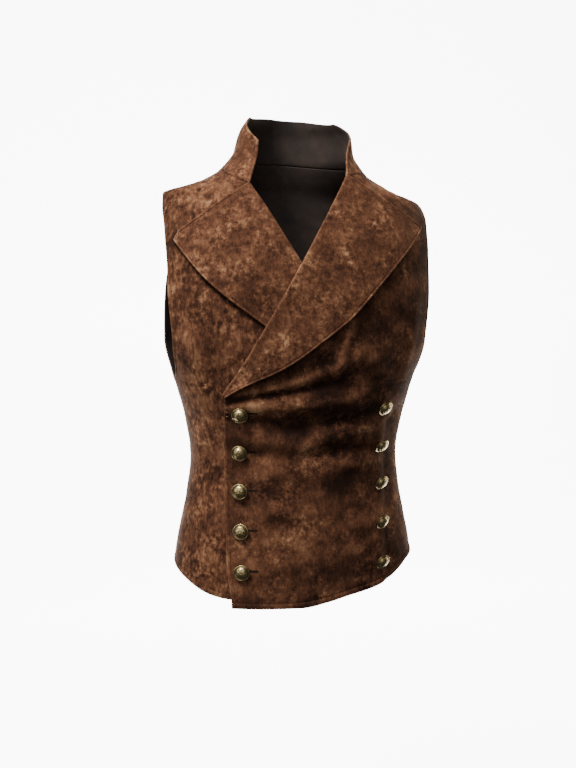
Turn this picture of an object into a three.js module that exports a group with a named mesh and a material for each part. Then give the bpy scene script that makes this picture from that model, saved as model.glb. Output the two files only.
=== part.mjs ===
// A double-breasted waistcoat, worn and empty: two crossed fronts with wide turned-back lapels, a stand
// collar, a back in two halves and two columns of five domed buttons. The wearer's left front lies on top.
// Millimetres, +Z up, the front faces -Y and the wearer's left is +X.
// The origin is the middle of the neck base, level with the inner ends of the shoulder seams.

import * as THREE from 'three';

// ---------------------------------------------------------------- driving sizes

const CLOTH = 2.0; // shell, interlining and facing pressed together
const LAPEL_CLOTH = 2.2;
const COLLAR_CLOTH = 2.6;
const SEAM_GAP = 0.3; // between two pieces that are sewn edge to edge
const NECK_SEAM_GAP = 1; // the neck seam curves, so its straight-sided pieces need more
const LAYER_GAP = 0.8; // between two layers that lie on each other
const SEAM_DEPTH = 4; // side and shoulder seams run this far behind the widest line, along Y

const rowsOf = (names, rows) => rows.map((row) => Object.fromEntries(names.map((name, i) => [name, row[i]])));

// The wearer's outline under the cloth, as level sections. Each is a rounded oval: half its width, its reach
// to the front and to the back of the origin's axis, and how square it is (2 is an ellipse).
const FORM = rowsOf(['z', 'halfWidth', 'front', 'back', 'square'], [
  [-625, 170, 119, 121, 2.4],
  [-560, 168.5, 117, 116, 2.4],
  [-520, 163, 114, 110, 2.4],
  [-450, 149, 108, 98, 2.4],
  [-400, 143.5, 106, 94, 2.4], // waist
  [-345, 152, 112, 101, 2.45],
  [-294, 165.5, 120, 112, 2.5], // underarm
  [-240, 185, 127, 121, 2.5],
  [-180, 190.5, 126, 124, 2.5], // chest
  [-120, 190.5, 117, 120, 2.35],
  [-75, 188.5, 105, 112, 2.1],
  [-48, 178, 93, 104, 1.95], // shoulder point
  [-38, 150, 88.5, 100.5, 2.1],
  [-29, 125, 84.5, 97, 2.2],
  [-13, 101, 76.5, 88.5, 2.2],
  [2, 87.5, 71, 82, 2.15], // neck base
  [13, 80.5, 69, 78, 2.15],
  [32, 76.5, 67, 74, 2.1],
  [46, 71.5, 65, 71, 2.1],
  [62, 61.5, 61, 66, 2.05],
  [85, 52, 56, 60, 2.05],
]);
// The wearer's left shoulder hangs lower: heights above this level drop by the tilt at that distance from the axis.
const SHOULDER_TILT = { drop: 6.2, atX: 180, fromZ: -150, fullZ: -50 };
const NECK_LEAN = { fromZ: 13, slope: 0.08 }; // and the neck leans to the wearer's left above fromZ

const SHOULDER_Z = -48;
const SIDE_NECK_Z = 0;
const BACK_NECK_Z = 8;
const BACK_HEM_Z = -548;

// The armhole is an upright oval whose lower half leans to the front.
const ARMHOLE = { middleZ: -170, halfHeight: 122, frontReach: 66, backReach: 62, square: 2.4, lean: 0.3 };

// Each front's edge: a straight run up from the hem to the lapel's break, then the roll line up to the neck.
// x is measured towards the other side of the body, so both fronts use the same signs.
const OUTER_FRONT = { hemX: 100, edgeX: 105.4, foldX: 108.5, breakZ: -304, neckX: -57, neckZ: -20 };
const INNER_FRONT = { hemX: 91, edgeX: 92.4, foldX: 95.5, breakZ: -312, neckX: -71, neckZ: -37 };

// Each front's hem, from its free edge to the side seam. The inner one stays out of sight under the outer.
const OUTER_HEM = rowsOf(['x', 'z'], [
  [-110, -591], [-10, -591], [28, -584.5], [50, -579], [91, -571], [116, -563], [134, -554], [147, -547], [169, -543],
]);
const INNER_HEM = rowsOf(['x', 'z'], [
  [-169, -554], [-153, -564], [-134, -574], [-120, -578], [-100, -580.5], [-60, -582], [0, -579], [50, -571], [95, -563],
]);

// Each lapel's free outline from the break to the neck: a long swelling edge, a blunt tip and a straight top.
const OUTER_LAPEL = {
  edge: [[104, -306], [73, -287.5], [42, -273], [3, -249], [-48, -210], [-101, -156], [-153, -99]],
  tip: [-163, -85],
  top: [[-130, -65], [-88, -38.5]],
};
const INNER_LAPEL = {
  edge: [[91, -314], [56, -292], [-8, -254], [-56, -219], [-100, -185], [-130, -158], [-166, -110]],
  tip: [-160, -99],
  top: [[-130, -77.5], [-98, -55]],
};
const LAPEL_SPRING = 4.5; // how far a lapel's free edge stands off the front
const SHOULDER_EASE = { height: 0.9, fromZ: -78, fullZ: -48 }; // and the whole lapel where it rounds the shoulder

// The stand collar's heights, and how far from the middle its front corners are at the top.
const COLLAR = {
  frontZ: 24, sideZ: 63, backZ: 70, cornerRun: 0.22, cornerBend: 1.4, rightCornerX: -56, leftCornerX: 66,
};

// Each button droops and is turned outwards on its shank, in degrees, top to bottom. The left column's hang on
// longer thread shanks, so they droop far more.
const BUTTON = { pitch: 53, radius: 11, seat: 0.7 };
const BUTTON_COLUMNS = [
  { name: 'right', x: -86, topZ: -329, shank: 3.6, droops: [10, 8, 9, 8, 10], turns: [0, 1, -1, 0, 1] },
  { name: 'left', x: 98, topZ: -322, shank: 6.2, droops: [22, 31, 32, 33, 32], turns: [4, 5, 2, 6, 3] },
];

// Soft folds, each a ridge along a path of front-view points. Most spring from the break and the buttons.
const OUTER_FOLDS = [
  { height: 3.2, halfWidth: 9, path: [[-72, -299], [-20, -289], [22, -274], [58, -258]] }, // under the lapel's edge
  { height: 4.6, halfWidth: 12, path: [[-96, -318], [-45, -321], [0, -320], [48, -314], [72, -306]] },
  { height: 4.2, halfWidth: 13, path: [[-92, -357], [-60, -367], [-10, -374], [25, -364], [56, -357], [72, -353]] },
  { height: 2.8, halfWidth: 13, path: [[-66, -412], [-10, -409], [40, -404], [84, -399]] },
  { height: 2.2, halfWidth: 12, path: [[-72, -463], [-37, -460], [10, -466]] },
  { height: 2.0, halfWidth: 12, path: [[24, -497], [84, -482]] },
  { height: 1.8, halfWidth: 15, path: [[-62, -536], [0, -530], [60, -520]] },
  { height: 2.6, halfWidth: 8, path: [[35, -281], [52, -216]] }, // short pull up to the chest
  { height: 2.6, halfWidth: 11, path: [[150, -200], [132, -292]] },
];
const INNER_FOLDS = [
  { height: 2.8, halfWidth: 12, path: [[-148, -236], [-130, -322]] },
  { height: 2.4, halfWidth: 11, path: [[-114, -330], [-134, -392]] },
  { height: 2.4, halfWidth: 12, path: [[-118, -424], [-142, -474]] },
  { height: 2.0, halfWidth: 12, path: [[-122, -500], [-138, -546]] },
];

// ---------------------------------------------------------------- curves and blends

const clamp01 = (value) => Math.min(1, Math.max(0, value));
const ease = (value) => clamp01(value) ** 2 * (3 - 2 * clamp01(value));
const mix = (a, b, share) => a + (b - a) * share;

// One column of a table as a smooth function of another, which never swings past the table's rows.
function smoothColumn(table, along, name) {
  const last = table.length - 1;
  const slopeAfter = (i) => (table[i + 1][name] - table[i][name]) / (table[i + 1][along] - table[i][along]);
  const slopes = table.map((_, i) => {
    if (i === 0 || i === last) return slopeAfter(i === 0 ? 0 : last - 1);
    const [before, after] = [slopeAfter(i - 1), slopeAfter(i)];
    return before * after <= 0 ? 0 : (2 * before * after) / (before + after);
  });
  return (value) => {
    const next = table.findIndex((row) => row[along] > value);
    const i = next < 0 ? last - 1 : Math.max(0, next - 1);
    const step = table[i + 1][along] - table[i][along];
    const s = clamp01((value - table[i][along]) / step);
    const rise = table[i + 1][name] - table[i][name];
    const bend = slopes[i] * s * (1 - s) ** 2 - slopes[i + 1] * s ** 2 * (1 - s);
    return table[i][name] + rise * ease(s) + step * bend;
  };
}

// A smooth curve through front-view points [x, z], walked evenly from 0 to 1.
function curveThrough(points) {
  const curve = new THREE.CatmullRomCurve3(points.map(([x, z]) => new THREE.Vector3(x, 0, z)), false, 'centripetal');
  return (s) => {
    const point = curve.getPointAt(clamp01(s));
    return [point.x, point.z];
  };
}

// Paths one after another, each over its own share of 0 to 1.
function chain(parts) {
  return (s) => {
    let start = 0;
    for (const [share, path] of parts) {
      if (s <= start + share + 1e-9 || start + share > 1 - 1e-9) return path(clamp01((s - start) / share));
      start += share;
    }
    return undefined;
  };
}

// A point inside four boundary paths that meet at their ends, each giving a pair of numbers.
function coons({ bottom, top, left, right }, u, v) {
  const [b, t, l, r] = [bottom(u), top(u), left(v), right(v)];
  const [b0, b1, t0, t1] = [bottom(0), bottom(1), top(0), top(1)];
  return [0, 1].map((i) => {
    const flat = mix(mix(b0[i], b1[i], u), mix(t0[i], t1[i], u), v);
    return mix(b[i], t[i], v) + mix(l[i], r[i], u) - flat;
  });
}

// ---------------------------------------------------------------- the form under the cloth

const formColumns = Object.fromEntries(
  ['halfWidth', 'front', 'back', 'square'].map((name) => [name, smoothColumn(FORM, 'z', name)]),
);

// A point of the form at a height and an angle about the axis: 0 is the front, a quarter turn the wearer's left.
function formPoint(z, angle) {
  const across = Math.sin(angle);
  const ahead = Math.cos(angle);
  const depth = ahead > 0 ? formColumns.front(z) : formColumns.back(z);
  const square = formColumns.square(z);
  const spread = (Math.abs(across) / formColumns.halfWidth(z)) ** square + (Math.abs(ahead) / depth) ** square;
  const radius = spread ** (-1 / square);
  const x = radius * across + NECK_LEAN.slope * Math.max(0, z - NECK_LEAN.fromZ);
  const { drop, atX, fromZ, fullZ } = SHOULDER_TILT;
  return new THREE.Vector3(x, -radius * ahead, z - (drop * x * ease((z - fromZ) / (fullZ - fromZ))) / atX);
}

function formNormal(z, angle) {
  const turn = 0.004;
  const rise = 0.6;
  const alongAngle = formPoint(z, angle + turn).sub(formPoint(z, angle - turn));
  const alongZ = formPoint(z + rise, angle).sub(formPoint(z - rise, angle));
  return alongAngle.cross(alongZ).normalize();
}

const lifted = (z, angle, lift) => formPoint(z, angle).addScaledVector(formNormal(z, angle), lift);

// The angle of the front surface's point at a given x, and of a side's point at a given depth y.
function angleAtX(z, x) {
  const square = formColumns.square(z);
  const share = Math.min(0.999, Math.abs(x) / formColumns.halfWidth(z));
  return Math.atan2(x, formColumns.front(z) * (1 - share ** square) ** (1 / square));
}

function angleAtY(z, y) {
  const depth = y > 0 ? formColumns.back(z) : formColumns.front(z);
  const square = formColumns.square(z);
  const share = Math.min(0.999, Math.abs(y) / depth);
  return Math.atan2(formColumns.halfWidth(z) * (1 - share ** square) ** (1 / square), -y);
}

// ---------------------------------------------------------------- how far the layers stand off the form

// x where a front's edge or roll line is at a height. side is 1 for the outer front, whose edge lies at -X.
function edgeX(front, side, z) {
  if (z <= front.breakZ) return -side * front.edgeX;
  return -side * mix(front.foldX, front.neckX, (z - front.breakZ) / (front.neckZ - front.breakZ));
}

function foldHeight(folds, x, z) {
  return folds.reduce((sum, { height, halfWidth, path }) => {
    const distance = path.slice(1).reduce((nearest, [endX, endZ], i) => {
      const [startX, startZ] = path[i];
      const [runX, runZ] = [endX - startX, endZ - startZ];
      const along = clamp01(((x - startX) * runX + (z - startZ) * runZ) / (runX ** 2 + runZ ** 2));
      return Math.min(nearest, Math.hypot(startX + along * runX - x, startZ + along * runZ - z));
    }, Infinity);
    return sum + height * Math.exp(-((distance / halfWidth) ** 2));
  }, 0);
}

// The inner front lies on the form. The outer one clears it and, above the break, its lapel too. Past the
// inner front's edge it comes down to the form: in a short step beside the buttons, gently under the lapel.
const ONE_LAYER = CLOTH + LAYER_GAP + 0.6;
const TWO_LAYERS = CLOTH + LAPEL_CLOTH + 2 * LAYER_GAP + 0.6;
const STEP_WIDTH = { below: 24, above: 60 };

function innerLift(x, z) {
  const free = ease((edgeX(OUTER_FRONT, 1, z) - 12 - x) / 20); // folds only where the outer front leaves room
  return foldHeight(INNER_FOLDS, x, z) * free;
}

function outerLift(x, z) {
  const rise = ease((z + 350) / 36);
  const past = x - edgeX(INNER_FRONT, -1, z) - 5;
  const over = 1 - ease(past / mix(STEP_WIDTH.below, STEP_WIDTH.above, rise));
  const calm = ease((172 - x) / 30) * ease((z + 586) / 25);
  return mix(ONE_LAYER, TWO_LAYERS, rise) * over + foldHeight(OUTER_FOLDS, x, z) * calm;
}

// ---------------------------------------------------------------- solids

// A closed wall between two grids of points. place(u, v, face) gives the inner face at 0 and the outer at 1.
function wallGeometry(columns, rows, place) {
  const positions = [];
  const index = (face, i, j) => (face * (rows + 1) + j) * (columns + 1) + i;
  for (const face of [0, 1]) {
    for (let j = 0; j <= rows; j += 1) {
      for (let i = 0; i <= columns; i += 1) positions.push(...place(i / columns, j / rows, face).toArray());
    }
  }
  const triangles = [];
  const quad = (a, b, c, d) => triangles.push(a, b, c, a, c, d);
  for (let j = 0; j < rows; j += 1) {
    for (let i = 0; i < columns; i += 1) {
      quad(index(1, i, j), index(1, i + 1, j), index(1, i + 1, j + 1), index(1, i, j + 1));
      quad(index(0, i, j), index(0, i, j + 1), index(0, i + 1, j + 1), index(0, i + 1, j));
    }
    quad(index(0, 0, j), index(1, 0, j), index(1, 0, j + 1), index(0, 0, j + 1));
    quad(index(1, columns, j), index(0, columns, j), index(0, columns, j + 1), index(1, columns, j + 1));
  }
  for (let i = 0; i < columns; i += 1) {
    quad(index(0, i, 0), index(0, i + 1, 0), index(1, i + 1, 0), index(1, i, 0));
    quad(index(1, i, rows), index(1, i + 1, rows), index(0, i + 1, rows), index(0, i, rows));
  }
  const geometry = new THREE.BufferGeometry();
  geometry.setAttribute('position', new THREE.Float32BufferAttribute(positions, 3));
  geometry.setIndex(enclosedVolume(positions, triangles) < 0 ? triangles.reverse() : triangles);
  geometry.computeVertexNormals();
  return geometry;
}

function enclosedVolume(positions, triangles) {
  const corner = (i) => new THREE.Vector3().fromArray(positions, 3 * triangles[i]);
  let volume = 0;
  for (let i = 0; i < triangles.length; i += 3) {
    volume += corner(i).dot(corner(i + 1).cross(corner(i + 2))) / 6;
  }
  return volume;
}

const cloth = new THREE.MeshStandardMaterial({ color: 0x5c3b2a, roughness: 0.9, metalness: 0, name: 'cloth' });
const brass = new THREE.MeshStandardMaterial({ color: 0x9a8552, roughness: 0.35, metalness: 1, name: 'brass' });

function mesh(name, geometry, material) {
  const made = new THREE.Mesh(geometry, material);
  made.name = name;
  return made;
}

// ---------------------------------------------------------------- outlines shared by the panels

// Outlines are points [angle, z] with the angle measured from the middle front. way is -1 for the panel in
// front of the side seam and 1 for the one behind it.
const sideSeam = (way, z) => [angleAtY(z, SEAM_DEPTH + (way * SEAM_GAP) / 2), z];

const UNDERARM_Z = ARMHOLE.middleZ - ARMHOLE.halfHeight;

// The armhole from the underarm to the shoulder point.
function armhole(way, s) {
  const w = 2 * s - 1;
  const turn = (Math.PI / 2) * (0.8 * w + 0.2 * w ** 3);
  const power = 2 / ARMHOLE.square;
  const reach = (way < 0 ? ARMHOLE.frontReach : ARMHOLE.backReach) * (1 + way * ARMHOLE.lean * Math.sin(turn));
  const z = ARMHOLE.middleZ + ARMHOLE.halfHeight * Math.sign(turn) * Math.abs(Math.sin(turn)) ** power;
  return [angleAtY(z, SEAM_DEPTH + way * (SEAM_GAP / 2 + reach * Math.cos(turn) ** power)), z];
}

// The neck seam's height at an angle: up each front from its lapel to the shoulder seam, then over the back.
const rollAngle = (front) => Math.abs(angleAtX(front.neckZ, front.neckX));
function neckSeamZ(front, angle) {
  const side = sideSeam(0, SIDE_NECK_Z)[0];
  if (angle > side) return mix(SIDE_NECK_Z, BACK_NECK_Z, ease((angle - side) / (Math.PI - side)));
  const start = rollAngle(front);
  return mix(front.neckZ, SIDE_NECK_Z, clamp01((angle - start) / (side - start)) ** 1.15);
}

// ---------------------------------------------------------------- the panels

const ROLL_INSET = LAPEL_CLOTH + 1; // the front's cut edge lies inside the lapel's turn by this

// A panel's grid: rows below the underarm, beside the armhole and over the shoulder.
const OUTER_FRONT_GRID = { columns: 24, lower: 26, middle: 16, upper: 4 };
const INNER_FRONT_GRID = { columns: 18, lower: 15, middle: 14, upper: 4 };
const BACK_GRID = { columns: 10, lower: 10, middle: 14, upper: 4 };

// A panel between its inner edge, at leftAt(z), and the side seam, armhole and shoulder seam. inner gives the
// inner edge's heights at the hem, the underarm row, the shoulder row and the neck.
function panel({ way, side, inner, leftAt, hemAt, neckAt, lift }, { columns, lower, middle, upper }) {
  const rows = lower + middle + upper;
  const rowEnds = (v) => {
    const row = v * rows;
    if (row <= lower) {
      return [mix(inner.hem, inner.underarm, row / lower), sideSeam(way, mix(hemAt(1), UNDERARM_Z, row / lower))];
    }
    if (row <= lower + middle) {
      const end = armhole(way, (row - lower) / middle);
      return [mix(inner.underarm, inner.shoulder, (end[1] - UNDERARM_Z) / (SHOULDER_Z - UNDERARM_Z)), end];
    }
    const s = (row - lower - middle) / upper;
    return [mix(inner.shoulder, inner.neck, s), sideSeam(way, mix(SHOULDER_Z, SIDE_NECK_Z, s))];
  };
  return wallGeometry(columns, rows, (u, v, face) => {
    const [leftZ, [rightAngle, rightZ]] = rowEnds(v);
    const seamAngle = sideSeam(way, rightZ)[0];
    const angle = mix(leftAt(leftZ), seamAngle, u) + (rightAngle - seamAngle) * u ** 3;
    const hemCurve = hemAt(u) - mix(hemAt(0), hemAt(1), u);
    const neckCurve = neckAt(angle) - mix(neckAt(leftAt(inner.neck)), SIDE_NECK_Z, u);
    const nearHem = Math.max(0, 1 - (v * rows) / lower) ** 2;
    const nearNeck = Math.max(0, 1 - ((1 - v) * rows) / upper) ** 2;
    const z = mix(leftZ, rightZ, u) + hemCurve * nearHem + neckCurve * nearNeck;
    return lifted(z, side * angle, lift(formPoint(z, side * angle).x, z) + face * CLOTH);
  });
}

// A front, from its own edge round to the side seam. side 1 is the wearer's left front, on top.
function frontPanel(front, side, hem, lift, grid) {
  const hemZ = smoothColumn(hem, 'x', 'z');
  const angleOf = (towardsOther, z) => side * angleAtX(z, -side * towardsOther);
  const cornerX = front.neckX - ROLL_INSET;
  const inner = {
    hem: hemZ(-side * front.hemX),
    underarm: front.breakZ,
    shoulder: SHOULDER_Z + 2,
    neck: neckSeamZ(front, angleOf(cornerX, front.neckZ)),
  };
  const leftAt = (z) => {
    if (z <= front.breakZ) return angleOf(mix(front.hemX, front.edgeX, ease((z - inner.hem) / 60)), z);
    const share = (z - front.breakZ) / (inner.neck - front.breakZ);
    return angleOf(mix(front.foldX - ROLL_INSET, cornerX, share), z);
  };
  const [hemStart, hemEnd] = [leftAt(inner.hem), sideSeam(-1, BACK_HEM_Z)[0]];
  const hemAt = (u) => hemZ(formPoint(BACK_HEM_Z, side * mix(hemStart, hemEnd, u)).x);
  return panel({ way: -1, side, inner, leftAt, hemAt, neckAt: (angle) => neckSeamZ(front, angle), lift }, grid);
}

// Half of the back, from the middle seam round to the side seam, where its hem meets the front's.
function backPanel(side, hem, grid) {
  const sideHemZ = smoothColumn(hem, 'x', 'z')(side * formColumns.halfWidth(BACK_HEM_Z));
  const inner = { hem: BACK_HEM_Z, underarm: UNDERARM_Z - 6, shoulder: SHOULDER_Z + 2, neck: BACK_NECK_Z };
  const leftAt = (z) => Math.PI - SEAM_GAP / 2 / formColumns.back(z);
  const hemAt = (u) => mix(BACK_HEM_Z, sideHemZ, ease(u));
  const neckAt = (angle) => neckSeamZ(OUTER_FRONT, angle);
  return panel({ way: 1, side, inner, leftAt, hemAt, neckAt, lift: () => 0 }, grid);
}

// ---------------------------------------------------------------- lapels and collar

// A lapel's section square to the roll line, for both faces: across from the front's cut edge, and up from
// the front's inner face. The first four columns are the turn over that edge.
const TURN_SECTION = rowsOf(['underAcross', 'underUp', 'topAcross', 'topUp'], [
  [-1, 0, -1 - LAPEL_CLOTH, 0],
  [-1, 0.6 * CLOTH, -1 - LAPEL_CLOTH, 0.6 * CLOTH],
  [-1, CLOTH + LAYER_GAP, -1 - 0.72 * LAPEL_CLOTH, CLOTH + LAYER_GAP + 0.62 * LAPEL_CLOTH],
  [1.2, CLOTH + LAYER_GAP, 0.6, CLOTH + LAYER_GAP + LAPEL_CLOTH],
]);

function lapel(front, side, lift, outline, spring, columns, rows) {
  const own = ([towardsOther, z]) => [-side * towardsOther, z];
  const left = (v) => own([mix(front.foldX, front.neckX, v), mix(front.breakZ, front.neckZ, v)]);
  const edge = curveThrough(outline.edge);
  const tip = (s) => [0, 1].map((i) => mix(outline.edge.at(-1)[i], outline.tip[i], s));
  const right = chain([[1 - 1 / rows, (s) => own(edge(s))], [1 / rows, (s) => own(tip(s))]]);
  const topCurve = curveThrough([[front.neckX, front.neckZ], ...outline.top.toReversed(), outline.tip]);
  const top = (u) => own(topCurve(u));
  const bottom = (u) => [0, 1].map((i) => mix(left(0)[i], right(0)[i], u));
  const turns = TURN_SECTION.length;
  return wallGeometry(columns, rows, (u, v, face) => {
    const column = Math.round(u * columns);
    const share = Math.max(0, (column - turns + 1) / (columns - turns + 1));
    const [flatX, flatZ] = coons({ bottom, top, left, right }, share, v);
    const [nextX, nextZ] = coons({ bottom, top, left, right }, share + 0.05, v);
    const length = Math.hypot(nextX - flatX, nextZ - flatZ) || 1; // it is 0 at the tip, where nothing is shifted
    const section = TURN_SECTION[Math.min(column, turns - 1)];
    const across = (face ? section.topAcross : section.underAcross) + ROLL_INSET;
    const up = face ? section.topUp : section.underUp;
    const shift = (across * (1 - share)) / length;
    const [x, z] = [flatX + (nextX - flatX) * shift, flatZ + (nextZ - flatZ) * shift];
    return lifted(z, angleAtX(z, x), lift(x, z) + up + spring(x, z, share, v) + shoulderEase(z));
  });
}

// The stand collar, from the inner front's lapel round the back to the outer front's.
function collar(columns, rows) {
  const start = -rollAngle(INNER_FRONT);
  const end = rollAngle(OUTER_FRONT) - 2 * Math.PI;
  const topStart = angleAtX(COLLAR.frontZ, COLLAR.rightCornerX);
  const topEnd = angleAtX(COLLAR.frontZ, COLLAR.leftCornerX) - 2 * Math.PI;
  const topZ = (u) => {
    const fromEnd = Math.min(u, 1 - u) / COLLAR.cornerRun;
    const climb = 1 - (1 - clamp01(fromEnd)) ** COLLAR.cornerBend;
    return mix(mix(COLLAR.frontZ, COLLAR.sideZ, climb), COLLAR.backZ, ease(fromEnd - 1));
  };
  return wallGeometry(columns, rows, (u, v, face) => {
    const foot = mix(start, end, u);
    const seamZ = foot > -Math.PI ? neckSeamZ(INNER_FRONT, -foot) : neckSeamZ(OUTER_FRONT, 2 * Math.PI + foot);
    const angle = mix(foot, mix(topStart, topEnd, u), v);
    return lifted(mix(seamZ + NECK_SEAM_GAP, topZ(u), v), angle, face * COLLAR_CLOTH);
  });
}

// A domed button on a shank, turned about its own axis from the shank's foot to the crown.
function buttonGeometry(shank) {
  const { radius } = BUTTON;
  const profile = [
    [0, 0],
    [0.9, 0],
    [2.2, 1.3],
    [2.2, shank],
    [radius - 1.6, shank + 0.3],
    [radius, shank + 1.1],
    [radius - 0.4, shank + 2.1],
    [radius - 1.7, shank + 2.3],
    [radius - 3.4, shank + 4.5],
    [radius - 6.6, shank + 6.3],
    [0, shank + 6.9],
  ];
  const geometry = new THREE.LatheGeometry(profile.map(([r, h]) => new THREE.Vector2(r, h)), 14);
  geometry.rotateX(Math.PI / 2); // the axis now points along +Z
  return geometry;
}

// The button faces out of the cloth and droops and swings on its shank, which ends just clear of the cloth.
function button(name, { x, z, shank, droop, turn }, surface) {
  const angle = angleAtX(z, x);
  const facing = formNormal(z, angle);
  const probe = new THREE.Raycaster(lifted(z, angle, 60), facing.clone().negate());
  const made = mesh(name, buttonGeometry(shank), brass);
  made.position.copy(probe.intersectObject(surface)[0].point).addScaledVector(facing, BUTTON.seat);
  const sideways = new THREE.Vector3(0, 0, 1).cross(facing).normalize();
  facing.applyAxisAngle(sideways, THREE.MathUtils.degToRad(droop));
  facing.applyAxisAngle(new THREE.Vector3(0, 0, 1), THREE.MathUtils.degToRad(turn));
  made.quaternion.setFromUnitVectors(new THREE.Vector3(0, 0, 1), facing);
  return made;
}

// ---------------------------------------------------------------- the waistcoat

// The free edge of a lapel springs off the front. The inner lapel stays flat where the outer front covers it.
const outerSpring = (x, z, share, v) => LAPEL_SPRING * ease(share) * (0.35 + 0.65 * ease((1 - v) * 6));
const shoulderEase = (z) => {
  const { height, fromZ, fullZ } = SHOULDER_EASE;
  return height * ease((z - fromZ) / (fullZ - fromZ));
};
const innerSpring = (x, z, share, v) => {
  const clear = ease((edgeX(OUTER_FRONT, 1, z) - 6 - x) / 50);
  return clear * outerSpring(x, z, share, v);
};

const outerFront = mesh('front_left', frontPanel(OUTER_FRONT, 1, OUTER_HEM, outerLift, OUTER_FRONT_GRID), cloth);
const waistcoat = new THREE.Group();
waistcoat.add(
  mesh('front_right', frontPanel(INNER_FRONT, -1, INNER_HEM, innerLift, INNER_FRONT_GRID), cloth),
  outerFront,
  mesh('back_right', backPanel(-1, INNER_HEM, BACK_GRID), cloth),
  mesh('back_left', backPanel(1, OUTER_HEM, BACK_GRID), cloth),
  mesh('lapel_right', lapel(INNER_FRONT, -1, innerLift, INNER_LAPEL, innerSpring, 12, 15), cloth),
  mesh('lapel_left', lapel(OUTER_FRONT, 1, outerLift, OUTER_LAPEL, outerSpring, 12, 15), cloth),
  mesh('collar', collar(34, 5), cloth),
);

for (const { name, x, topZ, shank, droops, turns } of BUTTON_COLUMNS) {
  droops.forEach((droop, i) => {
    const hung = { x, z: topZ - i * BUTTON.pitch, shank, droop, turn: turns[i] };
    waistcoat.add(button(`button_${name}_${i + 1}`, hung, outerFront));
  });
}

export default waistcoat;
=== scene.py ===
"""The looks of a double-breasted velvet waistcoat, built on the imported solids.

Every cloth node is replaced by a finer shell of the same form, with its creases, turned edges and stitching.
Lengths are millimetres until a mesh is made. +Z is up, the front faces -Y and the wearer's left is +X.
"""

import math

import bpy
import numpy as np
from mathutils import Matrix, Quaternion, Vector
from mathutils.bvhtree import BVHTree


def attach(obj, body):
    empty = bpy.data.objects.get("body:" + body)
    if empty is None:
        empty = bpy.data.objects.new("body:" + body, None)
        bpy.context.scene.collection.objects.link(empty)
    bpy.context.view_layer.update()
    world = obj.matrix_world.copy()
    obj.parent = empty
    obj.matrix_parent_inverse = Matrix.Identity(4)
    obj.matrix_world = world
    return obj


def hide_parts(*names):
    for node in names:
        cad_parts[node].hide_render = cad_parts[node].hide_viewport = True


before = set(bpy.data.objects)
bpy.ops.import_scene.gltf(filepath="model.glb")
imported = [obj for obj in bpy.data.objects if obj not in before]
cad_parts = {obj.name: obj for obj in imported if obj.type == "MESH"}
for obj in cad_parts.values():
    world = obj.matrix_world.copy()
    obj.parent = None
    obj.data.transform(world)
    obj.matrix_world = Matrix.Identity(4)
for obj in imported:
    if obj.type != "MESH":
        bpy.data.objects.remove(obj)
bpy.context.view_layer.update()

MM = 0.001

# ---- sizes that the solids share

CLOTH = 2.0
LAPEL_CLOTH = 2.2
COLLAR_CLOTH = 2.6
LAYER_GAP = 0.8
SEAM_DEPTH = 4.0
SEAM_LAP = 0.45  # the shells reach this far into each other at a seam, so that no light comes through

# The form under the cloth: height, half its width, its reach to the front and back, and how square it is.
FORM = np.array([
    (-625, 170, 119, 121, 2.4),
    (-560, 168.5, 117, 116, 2.4),
    (-520, 163, 114, 110, 2.4),
    (-450, 149, 108, 98, 2.4),
    (-400, 143.5, 106, 94, 2.4),
    (-345, 152, 112, 101, 2.45),
    (-294, 165.5, 120, 112, 2.5),
    (-240, 185, 127, 121, 2.5),
    (-180, 190.5, 126, 124, 2.5),
    (-120, 190.5, 117, 120, 2.35),
    (-75, 188.5, 105, 112, 2.1),
    (-48, 178, 93, 104, 1.95),
    (-38, 150, 88.5, 100.5, 2.1),
    (-29, 125, 84.5, 97, 2.2),
    (-13, 101, 76.5, 88.5, 2.2),
    (2, 87.5, 71, 82, 2.15),
    (13, 80.5, 69, 78, 2.15),
    (32, 76.5, 67, 74, 2.1),
    (46, 71.5, 65, 71, 2.1),
    (62, 61.5, 61, 66, 2.05),
    (85, 52, 56, 60, 2.05),
])
SHOULDER_TILT = {"drop": 6.2, "at_x": 180, "from_z": -150, "full_z": -50}
NECK_LEAN = {"from_z": 13, "slope": 0.08}

SHOULDER_Z = -48
SIDE_NECK_Z = 0
BACK_NECK_Z = 8
BACK_HEM_Z = -548
ARMHOLE = {
    "middle_z": -170, "half_height": 122, "front_reach": 66, "back_reach": 62, "square": 2.4, "lean": 0.3,
}
UNDERARM_Z = ARMHOLE["middle_z"] - ARMHOLE["half_height"]

# x counts towards the other side of the body, so that both fronts use the same signs.
OUTER_FRONT = {"hem_x": 100, "edge_x": 105.4, "fold_x": 108.5, "break_z": -304, "neck_x": -57, "neck_z": -20}
INNER_FRONT = {"hem_x": 91, "edge_x": 92.4, "fold_x": 95.5, "break_z": -312, "neck_x": -71, "neck_z": -37}
OUTER_HEM = np.array([
    (-110, -591), (-10, -591), (28, -584.5), (50, -579), (91, -571), (116, -563), (134, -554), (147, -547),
    (169, -543),
])
INNER_HEM = np.array([
    (-169, -554), (-153, -564), (-134, -574), (-120, -578), (-100, -580.5), (-60, -582), (0, -579),
    (50, -571), (95, -563),
])
OUTER_LAPEL = {
    "edge": [(104, -306), (73, -287.5), (42, -273), (3, -249), (-48, -210), (-101, -156), (-153, -99)],
    "tip": (-163, -85),
    "top": [(-130, -65), (-88, -38.5)],
}
INNER_LAPEL = {
    "edge": [(91, -314), (56, -292), (-8, -254), (-56, -219), (-100, -185), (-130, -158), (-166, -110)],
    "tip": (-160, -99),
    "top": [(-130, -77.5), (-98, -55)],
}
LAPEL_SPRING = 4.5  # how far a lapel stands off its front at its free edge
SHOULDER_EASE = {"height": 0.9, "from_z": -78, "full_z": -48}  # the lapels lie this much further off there
LAPEL_TIP_SHARE = 1 / 15  # of the lapel's height, beside its tip
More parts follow.
